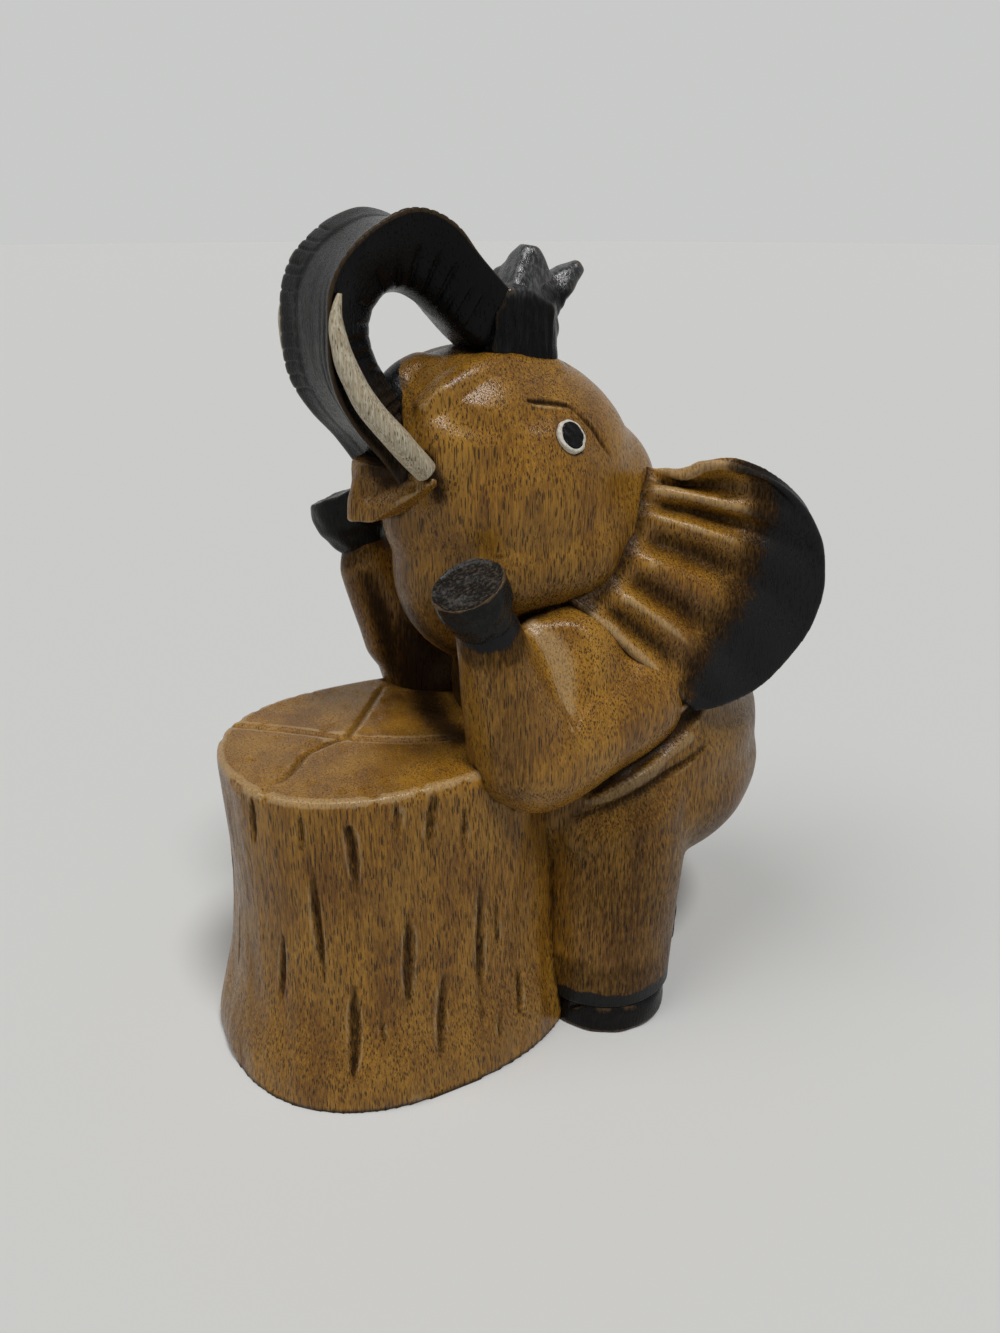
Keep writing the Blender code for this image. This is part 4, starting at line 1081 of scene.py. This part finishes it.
def black_paint(name, dark, grey, edge_paling, gloss):
    """Worn black paint over the same grain, grey in a mottle: rubbed paint, and a painted sheen on the
    trunk's band and the tip's top.
    """
    pale_wood, stain_and_shade = (0.13, 0.075, 0.03), (0.002, 0.002, 0.002)
    paint = Finish(name)
    rubbed = paint.ease(paint.noise(0.8, 2.0, 5.0), 0.42, 0.72)
    share = paint.times(rubbed, paint.plus(paint.attribute("paint"), 0.12))
    colour = paint.mix(share, dark, grey)
    ragged = paint.times(paint.minus(paint.noise(0.6, 1.4, 4.0), 0.5), 0.9)
    # Paler on standing edges: wear and painted highlight
    worn_and_lit = paint.ease(paint.plus(paint.attribute("wear_and_highlight"), ragged), 0.5, 1.05)
    colour = paint.mix(paint.times(worn_and_lit, edge_paling), colour, pale_wood)
    # Darker with stain and painted shade
    colour = paint.mix(paint.times(paint.attribute("stain_and_shade"), 0.9), colour, stain_and_shade)
    paint.set(Base_Color=colour, Roughness=paint.ease(rubbed, 0, 1, 0.2, 0.36),
              Specular_IOR_Level=paint.ease(paint.attribute("paint"), 0.0, 1.0, 0.1, gloss))
    pore = paint.pores(0.55, 5.0, 0.3, 0.3, 0.9)
    paint.bump(paint.minus(paint.times(paint.noise(0.5, 2, 4.0), 0.7), pore), 0.0002, 0.9)
    return paint.material


def worn_ivory():
    """Cream paint, rubbed thin, with dark pores along the tusk."""
    thin, cream, vessel = (0.33, 0.26, 0.16), (0.62, 0.56, 0.43), (0.05, 0.032, 0.016)
    brown, stain_and_shade = (0.09, 0.055, 0.025), (0.03, 0.018, 0.01)
    paint = Finish("worn_ivory")
    streak = paint.ease(paint.noise(0.4, 4.0, 4.0), 0.3, 0.75)
    colour = paint.mix(streak, thin, cream)
    dash = paint.ease(paint.noise(0.25, 1.8, 2.0, 0.5), 0.6, 0.68)
    colour = paint.mix(paint.times(dash, 0.75), colour, brown)
    pore = paint.pores(0.5, 3.2, 0.27, 0.3, 0.95)
    colour = paint.mix(paint.times(pore, 0.8), colour, vessel)
    # Darker with painted shade in the creases where the tusk meets the trunk and head
    stained_and_shaded = paint.ease(paint.plus(paint.attribute("stain_and_shade"), paint.times(streak, 0.2)), 0.25, 0.9)
    colour = paint.mix(paint.times(stained_and_shaded, 0.92), colour, stain_and_shade)
    paint.set(Base_Color=colour, Roughness=0.38, Specular_IOR_Level=0.4)
    paint.bump(paint.minus(paint.times(streak, 0.4), pore), 0.00016, 0.8)
    return paint.material


def eye_paint(name, colour, other, rough, gloss):
    """Thick brushed paint."""
    paint = Finish(name)
    brushed = paint.ease(paint.noise(0.5, 0.9, 4.0), 0.4, 0.75)
    paint.set(Base_Color=paint.mix(brushed, colour, other), Roughness=rough, Specular_IOR_Level=gloss)
    paint.bump(brushed, 0.00006, 0.6)
    return paint.material


def make_finishes():
    """The finish of each kind of slot that isn't lacquered wood."""
    foot = black_paint("foot_paint", (0.006, 0.005, 0.005), (0.03, 0.026, 0.02), 0.5, 0.2)
    # The trunk's grey is dusty wear and a painted sheen on its band
    return {"trunk": black_paint("trunk_paint", (0.0035, 0.0035, 0.004), (0.012, 0.0105, 0.0085),
                                 0.35, 0.1),
            # The tip's grey is a painted highlight on its top facets
            "trunk_tip": black_paint("tip_paint", (0.0038, 0.0038, 0.004), (0.085, 0.085, 0.09),
                                     0.35, 0.5),
            "fore_hoof": black_paint("hoof_paint", (0.010, 0.010, 0.010), (0.065, 0.052, 0.04),
                                     0.6, 0.2),
            "hind_foot": foot, "tail_tuft": foot, "tusk": worn_ivory(),
            "eye_white": eye_paint("eye_white_paint", (0.68, 0.64, 0.55), (0.42, 0.38, 0.3),
                                   0.35, 0.3),
            "pupil": eye_paint("pupil_paint", (0.002, 0.002, 0.002), (0.006, 0.006, 0.006),
                               0.22, 0.12)}


def finish_carvings():
    """Turns every carving into a finished piece of the object, in metres."""
    wood = lacquered_wood()
    finishes = make_finishes()
    for carving in carvings:
        mesh = carving.mesh
        # Paler on standing edges, as wear and painted highlight, and on the arm scoops as a painted
        # highlight
        wear_and_highlight = np.maximum(ease(edge_convexity(carving), 0.02, 0.22), carving.rub * 0.75)
        # Stain and painted shade, with the painted shade of the creases among it
        stain_and_shade = np.maximum(spread(carving, carving.stain_and_shade, 2), carving.crease_shade)
        for key, values in (("stain_and_shade", stain_and_shade), ("wear_and_highlight", wear_and_highlight), ("paint", carving.paint)):
            set_layer(mesh, key, values)
        move_vertices(mesh, (carving.points + (0, SHIFT_Y, 0)) * MM)
        mesh.shade_smooth()
        mesh.name = carving.name
        kind = carving.slot.removeprefix("left_").removeprefix("right_")
        mesh.materials.clear()
        mesh.materials.append(finishes.get(kind, wood))
        piece = bpy.data.objects.new(carving.name, mesh)
        bpy.context.scene.collection.objects.link(piece)
        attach(piece, "root")
        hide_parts(*carving.nodes)


def make_floor():
    """A wide pale floor that keeps the object's shadow."""
    bm = bmesh.new()
    bmesh.ops.create_circle(bm, cap_ends=True, segments=96, radius=6.0)
    floor = bpy.data.objects.new("floor", to_mesh(bm, "floor"))
    bpy.context.scene.collection.objects.link(floor)
    plain = bpy.data.materials.new("pale_floor")
    plain.use_nodes = True
    shader = plain.node_tree.nodes["Principled BSDF"]
    shader.inputs["Base Color"].default_value = (0.67, 0.67, 0.655, 1)
    shader.inputs["Roughness"].default_value = 0.8
    shader.inputs["Specular IOR Level"].default_value = 0.2
    floor.data.materials.append(plain)


def make_lamps():
    """Two soft lamps: the way toward each, its width in degrees and its power."""
    for name, toward, width, power in (("window", (0.0, -0.5, 0.86), 38, 0.95),
                                       ("ceiling", (0.42, 0.02, 0.91), 13, 1.75)):
        lamp = bpy.data.lights.new(name, "SUN")
        lamp.angle = math.radians(width)
        lamp.energy = power
        holder = bpy.data.objects.new(name, lamp)
        holder.rotation_euler = Vector(toward).to_track_quat("Z", "Y").to_euler()
        bpy.context.scene.collection.objects.link(holder)


def make_world():
    """A pale background, far dimmer as a light than where it is seen or mirrored."""
    lighting, seen_strength = 0.17, 0.84
    world = bpy.data.worlds.new("studio")
    bpy.context.scene.world = world
    world.use_nodes = True
    tree = world.node_tree
    ray = tree.nodes.new("ShaderNodeLightPath")
    either = ray.outputs["Is Camera Ray"]
    for kind in ("Is Glossy Ray", "Is Transmission Ray"):
        join = tree.nodes.new("ShaderNodeMath")
        join.operation = "MAXIMUM"
        tree.links.new(either, join.inputs[0])
        tree.links.new(ray.outputs[kind], join.inputs[1])
        either = join.outputs[0]
    strength = tree.nodes.new("ShaderNodeMapRange")
    strength.inputs["To Min"].default_value = lighting
    strength.inputs["To Max"].default_value = seen_strength
    tree.links.new(either, strength.inputs["Value"])
    background = tree.nodes["Background"]
    background.inputs["Color"].default_value = (0.69, 0.70, 0.69, 1)
    tree.links.new(strength.outputs[0], background.inputs["Strength"])


def make_camera():
    """The camera where the photographer stood, above the stump and tilted down."""
    lens = bpy.data.cameras.new("camera")
    lens.lens = 29.7
    lens.sensor_width = 36.0
    camera = bpy.data.objects.new("camera", lens)
    camera.location = (0.2285, -0.1268, 0.202)
    camera.rotation_euler = Euler((math.radians(67.0), 0, math.radians(61.2)))
    bpy.context.scene.collection.objects.link(camera)
    bpy.context.scene.camera = camera
    bpy.context.scene.view_settings.view_transform = "Standard"


make_stump()
make_body()
make_feet()
made_head = make_head()
make_lip()
make_eyes(made_head)
make_ears()
make_arms()
make_trunk()
make_trunk_tip()
make_tusks()
make_tail()
shade_creases()
finish_carvings()
make_floor()
make_lamps()
make_world()
make_camera()
